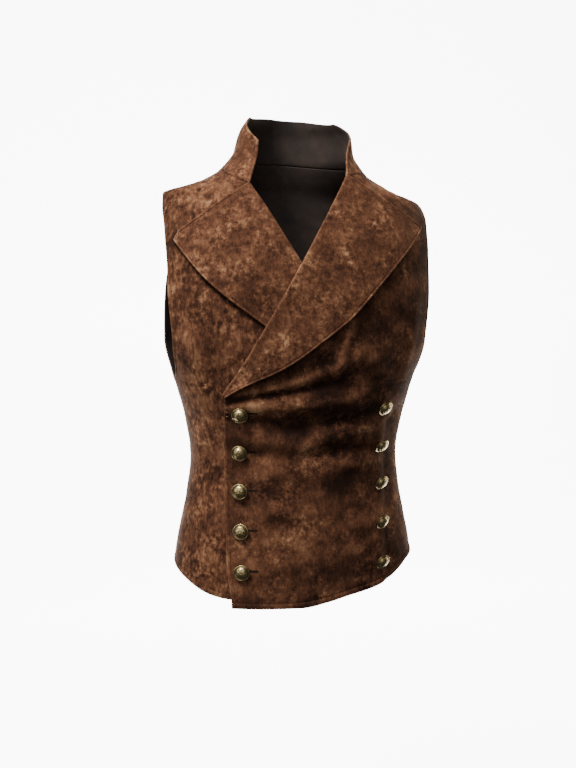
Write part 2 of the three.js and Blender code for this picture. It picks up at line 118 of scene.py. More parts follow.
COLLAR = {"front_z": 24, "side_z": 63, "back_z": 70, "right_corner_x": -56, "left_corner_x": 66}
COLLAR_CORNER = {"run": 0.22, "bend": 1.4}
BUTTON = {"pitch": 53, "seat": 0.7, "spin": 0.11}  # no two rosettes are turned alike, by spin radians at most
BUTTON_COLUMNS = {  # x, the top one's height, the shanks' length, and each one's droop and turn in degrees
    "right": (-86, -329, 3.6, (10, 8, 9, 8, 10), (0, 1, -1, 0, 1)),
    "left": (98, -322, 6.2, (22, 31, 32, 33, 32), (4, 5, 2, 6, 3)),
}

# The main folds: height, half width and path of front-view points.
OUTER_FOLDS = [
    (3.2, 9, [(-72, -299), (-20, -289), (22, -274), (58, -258)]),
    (4.6, 12, [(-96, -318), (-45, -321), (0, -320), (48, -314), (72, -306)]),
    (4.2, 13, [(-92, -357), (-60, -367), (-10, -374), (25, -364), (56, -357), (72, -353)]),
    (2.8, 13, [(-66, -412), (-10, -409), (40, -404), (84, -399)]),
    (2.2, 12, [(-72, -463), (-37, -460), (10, -466)]),
    (2.0, 12, [(24, -497), (84, -482)]),
    (1.8, 15, [(-62, -536), (0, -530), (60, -520)]),
    (2.6, 8, [(35, -281), (52, -216)]),
    (2.6, 11, [(150, -200), (132, -292)]),
]
INNER_FOLDS = [
    (2.8, 12, [(-148, -236), (-130, -322)]),
    (2.4, 11, [(-114, -330), (-134, -392)]),
    (2.4, 12, [(-118, -424), (-142, -474)]),
    (2.0, 12, [(-122, -500), (-138, -546)]),
]

# ---- sizes of the finish

ROLL_INSET = LAPEL_CLOTH + 1.0  # from the roll to the front's cut edge inside it
STAND_OFF = 0.6  # of a layer over the one below, besides the gap
ONE_LAYER = CLOTH + LAYER_GAP + STAND_OFF
TWO_LAYERS = CLOTH + LAPEL_CLOTH + 2 * LAYER_GAP + STAND_OFF
STEP_RISE = {"from_z": -350, "run": 36}  # from one layer under the outer front up to two
STEP_WIDTH = {"below": 13, "above": 60}  # how quickly the outer front comes down past the inner front's edge
STEP_START = {"below": 8, "above": 5}

# Where the folds and creases fade out: beside the outer front's edge, the side and middle seams and the hem.
INNER_CALM = {"clear": 12, "run": 20}
OUTER_CALM = {"side_x": 172, "side_run": 30, "hem_z": -586, "hem_run": 25}
BACK_CALM = {"clear": 4, "run": 18, "hem_z": BACK_HEM_Z + 6, "hem_run": 25}

# Small creases, mostly troughs, in the same form as the folds.
OUTER_CREASES = [
    (-1.9, 4.6, [(-104, -313), (-61, -306), (-12, -299), (20, -293), (61, -278)]),
    (-1.7, 5.5, [(-84, -336), (-50, -339), (-28, -353), (2, -347), (43, -341), (70, -331)]),
    (-1.3, 7.5, [(-14, -393), (40, -384), (86, -379)]),
    (-1.0, 6.5, [(-80, -384), (-54, -389)]),
    (-1.1, 8, [(-80, -474), (-37, -478), (-4, -486)]),
    (-0.9, 7, [(-70, -434), (-30, -437), (16, -431)]),
    (-0.9, 8, [(40, -446), (88, -434)]),
    (1.1, 4.5, [(30, -279), (53, -214)]),
    (-0.9, 4.5, [(40, -285), (66, -222)]),
    (0.9, 6, [(70, -270), (104, -246), (128, -214)]),
    (-0.8, 6, [(84, -290), (118, -262)]),
    (0.8, 5, [(-76, -331), (-58, -326)]),
    (-0.7, 5, [(20, -330), (34, -348)]),
    (0.9, 7, [(-40, -505), (10, -512), (34, -508)]),
    (-0.8, 7, [(-70, -508), (-30, -520), (20, -524)]),
    (0.8, 6, [(60, -548), (92, -530)]),
    (0.9, 5, [(128, -330), (138, -372)]),
    (-0.8, 5, [(118, -352), (127, -400)]),
    (0.8, 6, [(122, -430), (134, -474)]),
    (0.8, 6, [(136, -498), (144, -528)]),
]
INNER_CREASES = [
    (-1.1, 5, [(-132, -232), (-118, -300)]),
    (0.9, 6, [(-160, -262), (-150, -318)]),
    (-1.0, 5, [(-118, -344), (-126, -398)]),
    (0.9, 4.5, [(-136, -344), (-133, -388), (-137, -420)]),
    (-0.9, 5, [(-110, -402), (-124, -446)]),
    (0.8, 6, [(-112, -462), (-130, -508)]),
    (-0.9, 6, [(-146, -488), (-152, -540)]),
    (0.8, 5, [(-112, -520), (-116, -560)]),
    (-0.8, 8, [(-150, -340), (-128, -352), (-106, -350)]),
]
SHOULDER_CREASES = [  # x counts outwards here, and they are on both sides
    (1.0, 5, [(84, -10), (92, -40), (104, -62)]),
    (-0.9, 4.5, [(95, -12), (106, -36)]),
    (0.8, 6, [(116, -24), (124, -52)]),
    (-0.7, 6, [(138, -34), (142, -62)]),
]
BACK_CREASES = [  # x counts outwards
    (2.0, 10, [(8, -372), (60, -366), (112, -350)]),
    (-1.4, 8, [(14, -392), (62, -388), (104, -376)]),
    (1.8, 10, [(10, -414), (48, -412), (96, -402)]),
    (-1.1, 8, [(22, -438), (74, -432)]),
    (1.2, 10, [(14, -466), (60, -458)]),
    (1.5, 10, [(20, -332), (76, -318), (120, -296)]),
    (-1.1, 9, [(40, -306), (96, -282)]),
    (1.6, 14, [(62, -110), (84, -190), (92, -250)]),
    (-1.2, 12, [(96, -120), (112, -200)]),
    (1.2, 9, [(120, -250), (134, -300)]),
    (1.0, 10, [(30, -520), (80, -508)]),
    (-0.8, 8, [(20, -60), (60, -72), (110, -70)]),
]
BACK_UNEVEN = {"right": (0.85, 6), "left": (1.1, -5)}  # share of the creases' height, and a shift up

CREASE_FADE = 0.22  # of a crease's length, at each end
RIPPLE = {"height": 0.55, "length": 62}  # slow waves that no worn cloth is free of
RIPPLE_ON = {"panel": (1.0, 20), "lapel": (1.2, 16), "collar": (0.8, 14)}  # share, and run from an edge

STITCH = {
    "length": 2.5, "pitch": 3.5, "radius": 0.34, "sides": 6, "rings": 5, "sink": 0.12, "blunt": 0.7,
    "arch": 0.5,
}
INSET = {"front_edge": 6, "hem": 7.5, "armhole": 5, "lapel": 3.2, "collar": 4}
CORNER_CLEAR = {"panel": 0.93, "lapel": 0.92}  # of the inset, which stitching keeps from every edge
RAY = {"off": 14, "reach": 30}  # how far off the form a ray starts that lays a stitch on the cloth

# Painted shadow on the fronts: a dark band beside the lapels' free edges and tops, and in the crease below the
# left one.
LAPEL_SHADOW = {"outer": 0.45, "inner": 1.7, "at_break": 6, "half_width": 3.4, "narrowing": 2.4, "start": 25}
TOP_SHADOW = {"depth": 0.7, "half_width": 1.3, "start": 10}
CREASE_SHADOW = {"depth": 2.0, "half_width": 4.6, "path": [(104, -312), (61, -306), (12, -299), (-20, -293)]}
# How strongly the nap's tone follows the relief, as painted shade in hollows and as ridges and edges made
# lighter, partly by rubbed wear and partly as a painted highlight, and how that fades away from an edge.
PAINTED_LIGHT_AND_WEAR = {"hollow": 0.36, "ridge": 0.3, "most": 0.7, "edge": 1.1, "edge_run": 1.1}

TURNED_EDGE = {"height": 0.55, "rise": 1.6, "fall": 2.2}  # a turned edge is thicker out to its stitching
FRONT_WELT = {"top": 12, "run": 10, "stitch_top": 8, "off": 40}  # its tops are counted from the inner break
GROOVE = {"depth": 0.5, "half_width": 0.9}
SEAM_GROOVE = {"depth": 0.6, "half_width": 1.3}
EDGE_STEPS = np.array([0, 0.1, 0.35, 0.75, 1.2, 1.9, 2.6, 3.3, 4, 4.7, 5.4, 6, 6.6, 7.2, 7.8, 8.6, 9.6])

# ---- curves and blends


def ease(value):
    s = np.clip(value, 0, 1)
    return s * s * (3 - 2 * s)


def bell(away, half_width):
    return np.exp(-((away / half_width) ** 2))


def mix(a, b, share):
    return a + (b - a) * share


def smooth_column(along, values):
    """values as a smooth function of along, which never swings past them."""
    slope = np.diff(values) / np.diff(along)
    before, after = slope[:-1], slope[1:]
    total = np.where(before * after > 0, before + after, 1)
    inside = np.where(before * after > 0, 2 * before * after / total, 0)
    slopes = np.concatenate([slope[:1], inside, slope[-1:]])

    def at(value):
        i = np.clip(np.searchsorted(along, value, side="right") - 1, 0, len(along) - 2)
        step = along[i + 1] - along[i]
        s = np.clip((value - along[i]) / step, 0, 1)
        bend = slopes[i] * s * (1 - s) ** 2 - slopes[i + 1] * s**2 * (1 - s)
        return values[i] + (values[i + 1] - values[i]) * ease(s) + step * bend

    return at


def lengths_along(points, axis=-2):
    """The distance walked along rows of points, starting at 0."""
    steps = np.linalg.norm(np.diff(points, axis=axis), axis=-1)
    start = np.zeros_like(np.take(steps, [0], axis=axis + 1))
    return np.concatenate([start, np.cumsum(steps, axis=axis + 1)], axis=axis + 1)


def curve_through(points, samples=40):
    """A smooth curve through front-view points, walked evenly from 0 to 1."""
    p = np.array(points, float)
    p = np.vstack([2 * p[0] - p[1], p, 2 * p[-1] - p[-2]])
    knots = np.concatenate([[0], np.cumsum(np.linalg.norm(np.diff(p, axis=0), axis=1) ** 0.5)])
    pieces = []
    for i in range(1, len(p) - 2):
        k0, k1, k2, k3 = knots[i - 1:i + 3]
        k = np.linspace(k1, k2, samples)[:, None]
        a = mix(p[i - 1], p[i], (k - k0) / (k1 - k0))
        b = mix(p[i], p[i + 1], (k - k1) / (k2 - k1))
        c = mix(p[i + 1], p[i + 2], (k - k2) / (k3 - k2))
        low, high = mix(a, b, (k - k0) / (k2 - k0)), mix(b, c, (k - k1) / (k3 - k1))
        pieces.append(mix(low, high, (k - k1) / (k2 - k1)))
    path = np.vstack(pieces)
    walked = lengths_along(path)
    share = walked / walked[-1]
    return lambda s: np.stack([np.interp(s, share, path[:, i]) for i in (0, 1)], axis=-1)


def distance_to(points, path):
    """How far each point lies from a path, and the share of the path at its nearest point."""
    path = np.asarray(path, float)
    walked = lengths_along(path)
    nearest = np.full(points.shape[:-1], np.inf)
    share = np.zeros(points.shape[:-1])
    for i in range(len(path) - 1):
        run = path[i + 1] - path[i]
        s = np.clip(((points - path[i]) @ run) / max(run @ run, 1e-12), 0, 1)
        away = np.linalg.norm(points - path[i] - s[..., None] * run, axis=-1)
        closer = away < nearest
        nearest = np.where(closer, away, nearest)
        share = np.where(closer, mix(walked[i], walked[i + 1], s) / walked[-1], share)
    return nearest, share


# ---- the form under the cloth

HALF_WIDTH, FRONT, BACK, SQUARE = [smooth_column(FORM[:, 0], FORM[:, i]) for i in range(1, 5)]


def form_point(z, angle):
    """A point of the form. angle is 0 at the front and a quarter turn at the wearer's left."""
    across, ahead = np.sin(angle), np.cos(angle)
    depth = np.where(ahead > 0, FRONT(z), BACK(z))
    square = SQUARE(z)
    radius = (np.abs(across / HALF_WIDTH(z)) ** square + np.abs(ahead / depth) ** square) ** (-1 / square)
    x = radius * across + NECK_LEAN["slope"] * np.maximum(0, z - NECK_LEAN["from_z"])
    tilt = SHOULDER_TILT
    fall = tilt["drop"] * ease((z - tilt["from_z"]) / (tilt["full_z"] - tilt["from_z"])) / tilt["at_x"]
    return np.stack(np.broadcast_arrays(x, -radius * ahead, z - fall * x), axis=-1)


def form_normal(z, angle, turn=0.004, rise=0.6):
    along_angle = form_point(z, angle + turn) - form_point(z, angle - turn)
    along_z = form_point(z + rise, angle) - form_point(z - rise, angle)
    normal = np.cross(along_angle, along_z)
    return normal / np.linalg.norm(normal, axis=-1, keepdims=True)


def lifted(z, angle, lift):
    return form_point(z, angle) + form_normal(z, angle) * np.asarray(lift)[..., None]


def angle_at_x(z, x):
    share = np.minimum(0.999, np.abs(x) / HALF_WIDTH(z))
    return np.arctan2(x, FRONT(z) * (1 - share ** SQUARE(z)) ** (1 / SQUARE(z)))


def angle_at_y(z, y):
    share = np.minimum(0.999, np.abs(y) / np.where(y > 0, BACK(z), FRONT(z)))
    return np.arctan2(HALF_WIDTH(z) * (1 - share ** SQUARE(z)) ** (1 / SQUARE(z)), -y)


# ---- how far the layers stand off the form


def edge_x(front, side, z):
    up = (z - front["break_z"]) / (front["neck_z"] - front["break_z"])
    return -side * np.where(z <= front["break_z"], front["edge_x"], mix(front["fold_x"], front["neck_x"], up))


def fold_height(folds, x, z, fade=0.0):
    """The summed height of soft ridges and troughs at front-view points."""
    points = np.stack(np.broadcast_arrays(x, z), axis=-1)
    total = np.zeros(points.shape[:-1])
    for height, half_width, path in folds:
        away, share = distance_to(points, path)
        strength = ease(np.minimum(share, 1 - share) / fade + 0.25) if fade else 1
        total = total + height * strength * bell(away, half_width)
    return total


def ripple(points, seed, kind, from_edge):
    """Slow uneven waves over a surface, flat at its edges."""
    turn = 2 * math.pi / RIPPLE["length"]
    x, y, z = np.moveaxis(points, -1, 0)
    first = np.sin(turn * (x * 0.8 + z * 0.35 + y * 0.3) + seed)
    second = np.sin(turn * 1.7 * (z * 0.62 - x * 0.4 + y * 0.5) + 2.1 * seed + 1.3 * first)
    third = np.sin(turn * 2.9 * (x * 0.5 + z * 0.55) + 0.7 * seed + 1.1 * second)
    strength, run = RIPPLE_ON[kind]
    return strength * ease(from_edge / run) * RIPPLE["height"] * (0.45 * first + 0.35 * second + 0.2 * third)


def inner_lift(x, z):
    free = ease((edge_x(OUTER_FRONT, 1, z) - INNER_CALM["clear"] - x) / INNER_CALM["run"])
    return free * (fold_height(INNER_FOLDS, x, z) + fold_height(INNER_CREASES, x, z, CREASE_FADE))


def outer_lift(x, z):
    rise = ease((z - STEP_RISE["from_z"]) / STEP_RISE["run"])
    past = x - edge_x(INNER_FRONT, -1, z) - mix(STEP_START["below"], STEP_START["above"], rise)
    over = 1 - ease(past / mix(STEP_WIDTH["below"], STEP_WIDTH["above"], rise))
    calm = ease((OUTER_CALM["side_x"] - x) / OUTER_CALM["side_run"])
    calm = calm * ease((z - OUTER_CALM["hem_z"]) / OUTER_CALM["hem_run"])
    folds = fold_height(OUTER_FOLDS, x, z) + fold_height(OUTER_CREASES, x, z, CREASE_FADE)
    return mix(ONE_LAYER, TWO_LAYERS, rise) * over + folds * calm


def back_lift(side):
    share, shift = BACK_UNEVEN["right" if side < 0 else "left"]

    def lift(x, z):
        calm = ease((np.abs(x) - BACK_CALM["clear"]) / BACK_CALM["run"])
        calm = calm * ease((z - BACK_CALM["hem_z"]) / BACK_CALM["hem_run"])
        return share * fold_height(BACK_CREASES, np.abs(x), z - shift, CREASE_FADE) * calm

    return lift


def with_shoulder(lift):
    """A front's lift with the creases at its shoulder added."""
    return lambda x, z: lift(x, z) + fold_height(SHOULDER_CREASES, np.abs(x), z, CREASE_FADE)


# ---- outlines shared by the panels


def side_seam(z, way=0):
    return angle_at_y(z, SEAM_DEPTH - way * SEAM_LAP)


def armhole(way, s):
    """The armhole from the underarm to the shoulder point, as an angle and a height."""
    w = 2 * s - 1
    turn = (math.pi / 2) * (0.8 * w + 0.2 * w**3)
    power = 2 / ARMHOLE["square"]
    reach = ARMHOLE["front_reach"] if way < 0 else ARMHOLE["back_reach"]
    reach = reach * (1 + way * ARMHOLE["lean"] * np.sin(turn))
    z = ARMHOLE["middle_z"] + ARMHOLE["half_height"] * np.sign(turn) * np.abs(np.sin(turn)) ** power
    return angle_at_y(z, SEAM_DEPTH + way * (reach * np.maximum(0, np.cos(turn)) ** power - SEAM_LAP)), z


def roll_angle(front):
    return abs(float(angle_at_x(front["neck_z"], front["neck_x"])))


NECK_BEND = 1.15  # of the neck seam's climb from the roll to the shoulder


def neck_seam_z(front, angle):
    side, start = float(side_seam(SIDE_NECK_Z)), roll_angle(front)
    over_back = mix(SIDE_NECK_Z, BACK_NECK_Z, ease((angle - side) / (math.pi - side)))
    up_front = mix(front["neck_z"], SIDE_NECK_Z, np.clip((angle - start) / (side - start), 0, 1) ** NECK_BEND)
    return np.where(angle > side, over_back, up_front)


# ---- where a panel's points lie

# A panel's height counts from 0 at the hem to 1 at the underarm, 2 at the shoulder point and 3 at the neck.
INNER_SHOULDER_Z = SHOULDER_Z + 2  # where the grid line of the shoulder point ends, at a panel's inner edge
BACK_MIDDLE_Z = UNDERARM_Z - 6  # and the underarm's, at the middle back
EDGE_SLANT = 60  # how far up from the hem a front's edge slants


def panel_surface(way, inner, left_at, hem_at, neck_at):
    """A function from shares across and heights up a panel to the form's heights and angles."""
    def surface(u, t):
        u, t = np.broadcast_arrays(np.asarray(u, float), np.asarray(t, float))
        low, high = np.clip(t, 0, 1), np.clip(t - 2, 0, 1)
        arm_angle, arm_z = armhole(way, np.clip(t - 1, 0, 1))
        right_z = np.where(t < 1, mix(hem_at(np.ones_like(u)), UNDERARM_Z, low), arm_z)
        right_z = np.where(t > 2, mix(SHOULDER_Z, SIDE_NECK_Z, high), right_z)
        seam_angle = side_seam(right_z, way)
        right_angle = np.where((t >= 1) & (t <= 2), arm_angle, seam_angle)
        up_arm = (arm_z - UNDERARM_Z) / (SHOULDER_Z - UNDERARM_Z)
        beside_arm = mix(inner["underarm"], inner["shoulder"], up_arm)
        left_z = np.where(t < 1, mix(inner["hem"], inner["underarm"], low), beside_arm)
        left_z = np.where(t > 2, mix(inner["shoulder"], inner["neck"], high), left_z)
        angle = mix(left_at(left_z), seam_angle, u) + (right_angle - seam_angle) * u**3
        hem_curve = hem_at(u) - mix(hem_at(np.zeros_like(u)), hem_at(np.ones_like(u)), u)
        neck_start = neck_at(left_at(np.full_like(u, inner["neck"])))
        neck_curve = neck_at(angle) - mix(neck_start, SIDE_NECK_Z, u)
        near_hem, near_neck = np.maximum(0, 1 - t) ** 2, np.maximum(0, t - 2) ** 2
        return mix(left_z, right_z, u) + hem_curve * near_hem + neck_curve * near_neck, angle

    return surface


def front_surface(front, side, hem):
    hem_z = smooth_column(hem[:, 0], hem[:, 1])
    corner_x = front["neck_x"] - ROLL_INSET

    def angle_of(towards_other, z):
        return side * angle_at_x(z, -side * towards_other)

    inner = {
        "hem": float(hem_z(-side * front["hem_x"])),
        "underarm": front["break_z"],
        "shoulder": INNER_SHOULDER_Z,
        "neck": float(neck_seam_z(front, angle_of(corner_x, front["neck_z"]))),
    }

    def left_at(z):
        straight = angle_of(mix(front["hem_x"], front["edge_x"], ease((z - inner["hem"]) / EDGE_SLANT)), z)
        share = (z - front["break_z"]) / (inner["neck"] - front["break_z"])
        rolled = angle_of(mix(front["fold_x"] - ROLL_INSET, corner_x, share), z)
        return np.where(z <= front["break_z"], straight, rolled)

    hem_start, hem_end = left_at(inner["hem"]), side_seam(BACK_HEM_Z)

    def hem_at(u):
        return hem_z(form_point(np.full_like(u, BACK_HEM_Z), side * mix(hem_start, hem_end, u))[..., 0])

    return panel_surface(-1, inner, left_at, hem_at, lambda angle: neck_seam_z(front, angle))


def back_surface(side, hem):
    side_hem_z = float(smooth_column(hem[:, 0], hem[:, 1])(side * HALF_WIDTH(BACK_HEM_Z)))
    inner = {"hem": BACK_HEM_Z, "underarm": BACK_MIDDLE_Z, "shoulder": INNER_SHOULDER_Z, "neck": BACK_NECK_Z}
    return panel_surface(
        1, inner, lambda z: math.pi + SEAM_LAP / BACK(z), lambda u: mix(BACK_HEM_Z, side_hem_z, ease(u)),
        lambda angle: neck_seam_z(OUTER_FRONT, angle),
    )


def stations(length, count):
    """Distances along a length, close together near both ends so that edges and stitching come out fine."""
    steps = EDGE_STEPS[EDGE_STEPS < length * 0.3]
    middle = np.linspace(steps[-1], length - steps[-1], count - 2 * len(steps) + 2)
    return np.concatenate([steps, middle[1:-1], length - steps[::-1]])


def far_stations(length, count, steps=None):
    """Distances along a length, close together near its far end only."""
    if steps is None:
        steps = EDGE_STEPS[EDGE_STEPS < length * 0.4]
    rest = np.linspace(0, length - steps[-1], count - len(steps) + 1)
    return np.concatenate([rest, length - steps[-2::-1]])


def panel_grid(surface, columns, rows):
    """Shares and heights for a panel's grid. rows counts those below, beside and above the armhole."""
    fine = np.linspace(0, 1, 120)
    heights = []
    for part, count in enumerate(rows):
        walked = lengths_along(lifted(*surface(0.5, part + fine), 0))
        length = walked[-1]
        if part == 0:
            rest = np.linspace(EDGE_STEPS[-1], length, count - len(EDGE_STEPS) + 1)
            wanted = np.concatenate([EDGE_STEPS, rest[1:]])
        elif part == 1:
            wanted = np.linspace(0, length, count)
        else:
            wanted = far_stations(length, count, EDGE_STEPS[:5])
        heights.append(part + np.interp(wanted, walked, fine))
    t = np.unique(np.concatenate(heights).round(9))
    walked = lengths_along(lifted(*surface(fine[None, :], t[:, None]), 0))
    u = np.stack([np.interp(stations(row[-1], columns), row, fine) for row in walked])
    return u, np.broadcast_to(t[:, None], u.shape)


# ---- meshes


def mesh_object(name, points, faces, materials, face_materials=None, wear_and_painted_light=None):
    """A smooth mesh in metres from points in millimetres. Its point attribute, which the looks read, holds how
    worn a surface is, and on the cloth also painted shade and painted highlights.
    """
    mesh = bpy.data.meshes.new(name)
    mesh.from_pydata((points * MM).tolist(), [], faces.tolist() if hasattr(faces, "tolist") else faces)
    for material in materials:
        mesh.materials.append(material)
    if face_materials is not None:
        mesh.polygons.foreach_set("material_index", np.asarray(face_materials, np.int32))
    if wear_and_painted_light is not None:
        mesh.attributes.new("wear_and_painted_light", "FLOAT", "POINT").data.foreach_set("value", np.asarray(wear_and_painted_light, np.float32))
    mesh.polygons.foreach_set("use_smooth", np.full(len(mesh.polygons), True))
    mesh.validate()
    mesh.update()
    made = bpy.data.objects.new(name, mesh)
    bpy.context.scene.collection.objects.link(made)
    return made


def quads(grid):
    return np.stack([grid[:-1, :-1], grid[:-1, 1:], grid[1:, 1:], grid[1:, :-1]], axis=-1).reshape(-1, 4)


def shell(node, inner, outer, look, wear_and_painted_light):
    """A thin wall between two grids of points, closed by round edges, in place of node's solid."""
    middle = (inner + outer) / 2
    half = np.linalg.norm(outer - inner, axis=-1) / 2
    across, up = lengths_along(middle), lengths_along(middle, axis=-3)
    to_edge = np.minimum.reduce([across, across[:, -1:] - across, up, up[-1:] - up])
    near = np.clip(to_edge / (CLOTH / 2), 0, 1)
    roundness = np.sqrt(1 - (1 - near) ** 2)[..., None]
    inner, outer = middle + (inner - middle) * roundness, middle + (outer - middle) * roundness
    rows, columns = half.shape
    outer_index = np.arange(rows * columns).reshape(rows, columns)
    inner_index = outer_index.copy()
    inner_index[1:-1, 1:-1] = rows * columns + np.arange((rows - 2) * (columns - 2)).reshape(rows - 2, -1)
    points = np.vstack([outer.reshape(-1, 3), inner[1:-1, 1:-1].reshape(-1, 3)])
    front, behind = quads(outer_index), quads(inner_index)[:, ::-1]
    if facing_in(points, np.vstack([front, behind])):
        front, behind = front[:, ::-1], behind[:, ::-1]
    sides = np.repeat([0, 1], [len(front), len(behind)])
    wear_and_painted_light = np.concatenate([wear_and_painted_light.ravel(), wear_and_painted_light[1:-1, 1:-1].ravel()])
    made = mesh_object(f"{node}_velvet", points, np.vstack([front, behind]), [look, REVERSE], sides, wear_and_painted_light)
    return dressed(made, node)


def facing_in(points, faces):
    a, b, c, d = [points[faces[:, i]] for i in range(4)]
    volume = np.einsum("ij,ij->i", a, np.cross(b, c)) + np.einsum("ij,ij->i", a, np.cross(c, d))
    return volume.sum() < 0


# ---- relief and wear of the cloth


def turned_edge(away, inset):
    """The height of an edge turned in and topstitched: a soft welt, then the groove of its stitching."""
    edge = TURNED_EDGE
    fall = ease((away - inset + edge["rise"]) / edge["fall"])
    welt = edge["height"] * ease(away / edge["rise"]) * (1 - fall)
    return welt - GROOVE["depth"] * bell(away - inset, GROOVE["half_width"])


def painted_light_and_wear(height, to_edge, passes=34):
    """The nap's tone from its relief and edges: above 0 on ridges and edges, which are partly worn light and
    partly a painted highlight, and below 0 in hollows, which is painted shade.
    """
    level = height
    for _ in range(passes):
        wide = np.pad(level, 1, mode="edge")
        level = (wide[:-2, 1:-1] + wide[2:, 1:-1] + wide[1:-1, :-2] + wide[1:-1, 2:]) / 4
    # Hollows get painted shade; ridges get lighter, partly as worn nap and partly as painted light; edges get
    # lighter, partly rubbed and partly as a painted highlight.
    above = height - level
    worn = np.where(above < 0, PAINTED_LIGHT_AND_WEAR["hollow"], PAINTED_LIGHT_AND_WEAR["ridge"]) * above
    worn = np.clip(worn, -PAINTED_LIGHT_AND_WEAR["most"], PAINTED_LIGHT_AND_WEAR["most"])
    return worn + PAINTED_LIGHT_AND_WEAR["edge"] * np.exp(-to_edge / PAINTED_LIGHT_AND_WEAR["edge_run"])


# ---- stitching


def raised_run(tree, path, normals, pitch):
    """Evenly spaced places along a path laid on a surface: centre, direction and normal of each stitch."""
    walked = lengths_along(path)
    count = int(walked[-1] / pitch)
    at = (np.arange(count) + 0.5) * walked[-1] / max(count, 1)
    centres, facing = [
        np.stack([np.interp(at, walked, rows[:, i]) for i in range(3)], axis=-1) for rows in (path, normals)
    ]
    spots, landed = [], []
    for centre, normal in zip(centres, facing):
        normal = Vector(normal).normalized()
        hit, face_normal, _, _ = tree.ray_cast(Vector(centre) + normal * RAY["off"], -normal, RAY["reach"])
        if hit is not None:
            spots.append(np.array(hit))
            landed.append(np.array(face_normal if face_normal.dot(normal) > 0 else normal))
    if len(landed) < 3:
        return []
    return list(zip(spots, np.gradient(np.array(spots), axis=0), landed))


def inset_path(border, normals, inset, inside):
    """A border moved over the cloth by a distance towards a point inside it."""
    along = np.gradient(border, axis=0)
    along /= np.linalg.norm(along, axis=1, keepdims=True)
    side = np.cross(normals, along)
    side /= np.linalg.norm(side, axis=1, keepdims=True)
    sign = np.sign(np.einsum("ij,ij->i", side, inside - border).sum())
    return border + side * sign * inset


def thread_mesh(name, stitches, material, length=STITCH["length"], radius=STITCH["radius"]):
    """Stitches as one mesh of small bent capsules."""
    s = np.linspace(-1, 1, STITCH["rings"] + 2)
    thickness = radius * np.sqrt(np.maximum(0, 1 - s**2) ** STITCH["blunt"])
    arch = radius - STITCH["sink"] - STITCH["arch"] * radius * s**2
    turn = np.arange(STITCH["sides"]) * 2 * math.pi / STITCH["sides"]
    x = np.repeat(s[1:-1] * length / 2, STITCH["sides"])
    y = np.outer(thickness[1:-1], np.cos(turn)).ravel()
    h = (np.outer(thickness[1:-1], np.sin(turn)) + arch[1:-1, None]).ravel()
    x, y, h = np.append(x, [-length / 2, length / 2]), np.append(y, [0, 0]), np.append(h, [arch[0], arch[-1]])
    rings = np.arange(STITCH["rings"] * STITCH["sides"]).reshape(STITCH["rings"], STITCH["sides"])
    round_again = np.concatenate([rings, rings[:, :1]], axis=1)
    first, last, around = len(x) - 2, len(x) - 1, round_again.tolist()
    bent = quads(round_again).tolist()
    bent += [[first, b, a] for a, b in zip(around[0], around[0][1:])]
    bent += [[last, a, b] for a, b in zip(around[-1], around[-1][1:])]
    points, faces = [], []
    for spot, direction, normal in stitches:
        normal = normal / np.linalg.norm(normal)
        direction = direction - normal * (direction @ normal)
        direction = direction / np.linalg.norm(direction)
        side = np.cross(normal, direction)
        start = len(points) * len(x)
        points.append(spot + np.outer(x, direction) + np.outer(y, side) + np.outer(h, normal))
        faces += [[start + i for i in face] for face in bent]
    return mesh_object(name, np.vstack(points), faces, [material])


# ---- materials


class Look:
    """A material in the making. An input of its nodes takes a value or another node's output."""

    def __init__(self, name):
        self.material = bpy.data.materials.new(name)
        self.material.use_nodes = True
        self.nodes = self.material.node_tree.nodes

    def feed(self, node, inputs):
        for name, value in inputs.items():
            if isinstance(value, bpy.types.NodeSocket):
                self.material.node_tree.links.new(value, node.inputs[name])
            else:
                node.inputs[name].default_value = value

    def add(self, kind, inputs, **settings):
        node = self.nodes.new("ShaderNode" + kind)
        for name, value in settings.items():
            setattr(node, name, value)
        self.feed(node, inputs)
        return node

    def place(self, stretch=(1, 1, 1)):
        own = self.add("TexCoord", {}).outputs["Object"]
        return self.add("Mapping", {"Vector": own, "Scale": stretch}).outputs["Vector"]

    def noise(self, place, size, detail, roughness=0.55, distortion=0.0):
        """Noise whose features are about size across."""
        inputs = {"Vector": place, "Scale": 1 / (size * MM), "Detail": detail, "Roughness": roughness}
        return self.add("TexNoise", {**inputs, "Distortion": distortion}).outputs["Fac"]

    # The point attribute that holds wear, and on the cloth also painted shade and painted highlights.
    def wear_and_painted_light(self):
        return self.add("Attribute", {}, attribute_name="wear_and_painted_light").outputs["Fac"]

    def math(self, operation, *values):
        return self.add("Math", dict(enumerate(values)), operation=operation).outputs[0]

    def ramp(self, value, stops):
        node = self.add("ValToRGB", {"Fac": value})
        elements = node.color_ramp.elements
        while len(elements) < len(stops):
            elements.new(0.5)
        for element, (position, colour) in zip(elements, stops):
            element.position = position
            element.color = (*colour, 1)
        return node.outputs["Color"]

    def bump(self, height, strength, distance, **below):
        inputs = {"Height": height, "Strength": strength, "Distance": distance * MM, **below}
        return self.add("Bump", inputs).outputs["Normal"]

    def finish(self, colour, roughness, **inputs):
        """The material, with its surface's inputs. Their names have _ in place of spaces."""
        for name, value in {"Base_Color": colour, "Roughness": roughness, **inputs}.items():
            self.feed(self.nodes["Principled BSDF"], {name.replace("_", " "): value})
        return self.material


VELVET_STOPS = [
    (0.10, (0.0120, 0.0045, 0.0024)),
    (0.32, (0.0370, 0.0142, 0.0074)),
    (0.50, (0.0780, 0.0310, 0.0155)),
    (0.68, (0.1350, 0.0600, 0.0300)),
    (0.92, (0.2350, 0.1260, 0.0660)),
]
NAP = {"grain": 0.9, "grain_weight": 0.3, "gain": 1.3, "wear_and_painted_light": 0.26, "stretch": (1, 1, 0.45), "smooth": 0.2}
PATCHY = {"size": 32, "gain": 3.2, "offset": -0.6, "least": 0.4}  # how far the blotches stand out, by place
FLECK = {"size": 5.0, "gate": 0.6, "from": 0.84}  # small rubbed spots, gathered in the same places


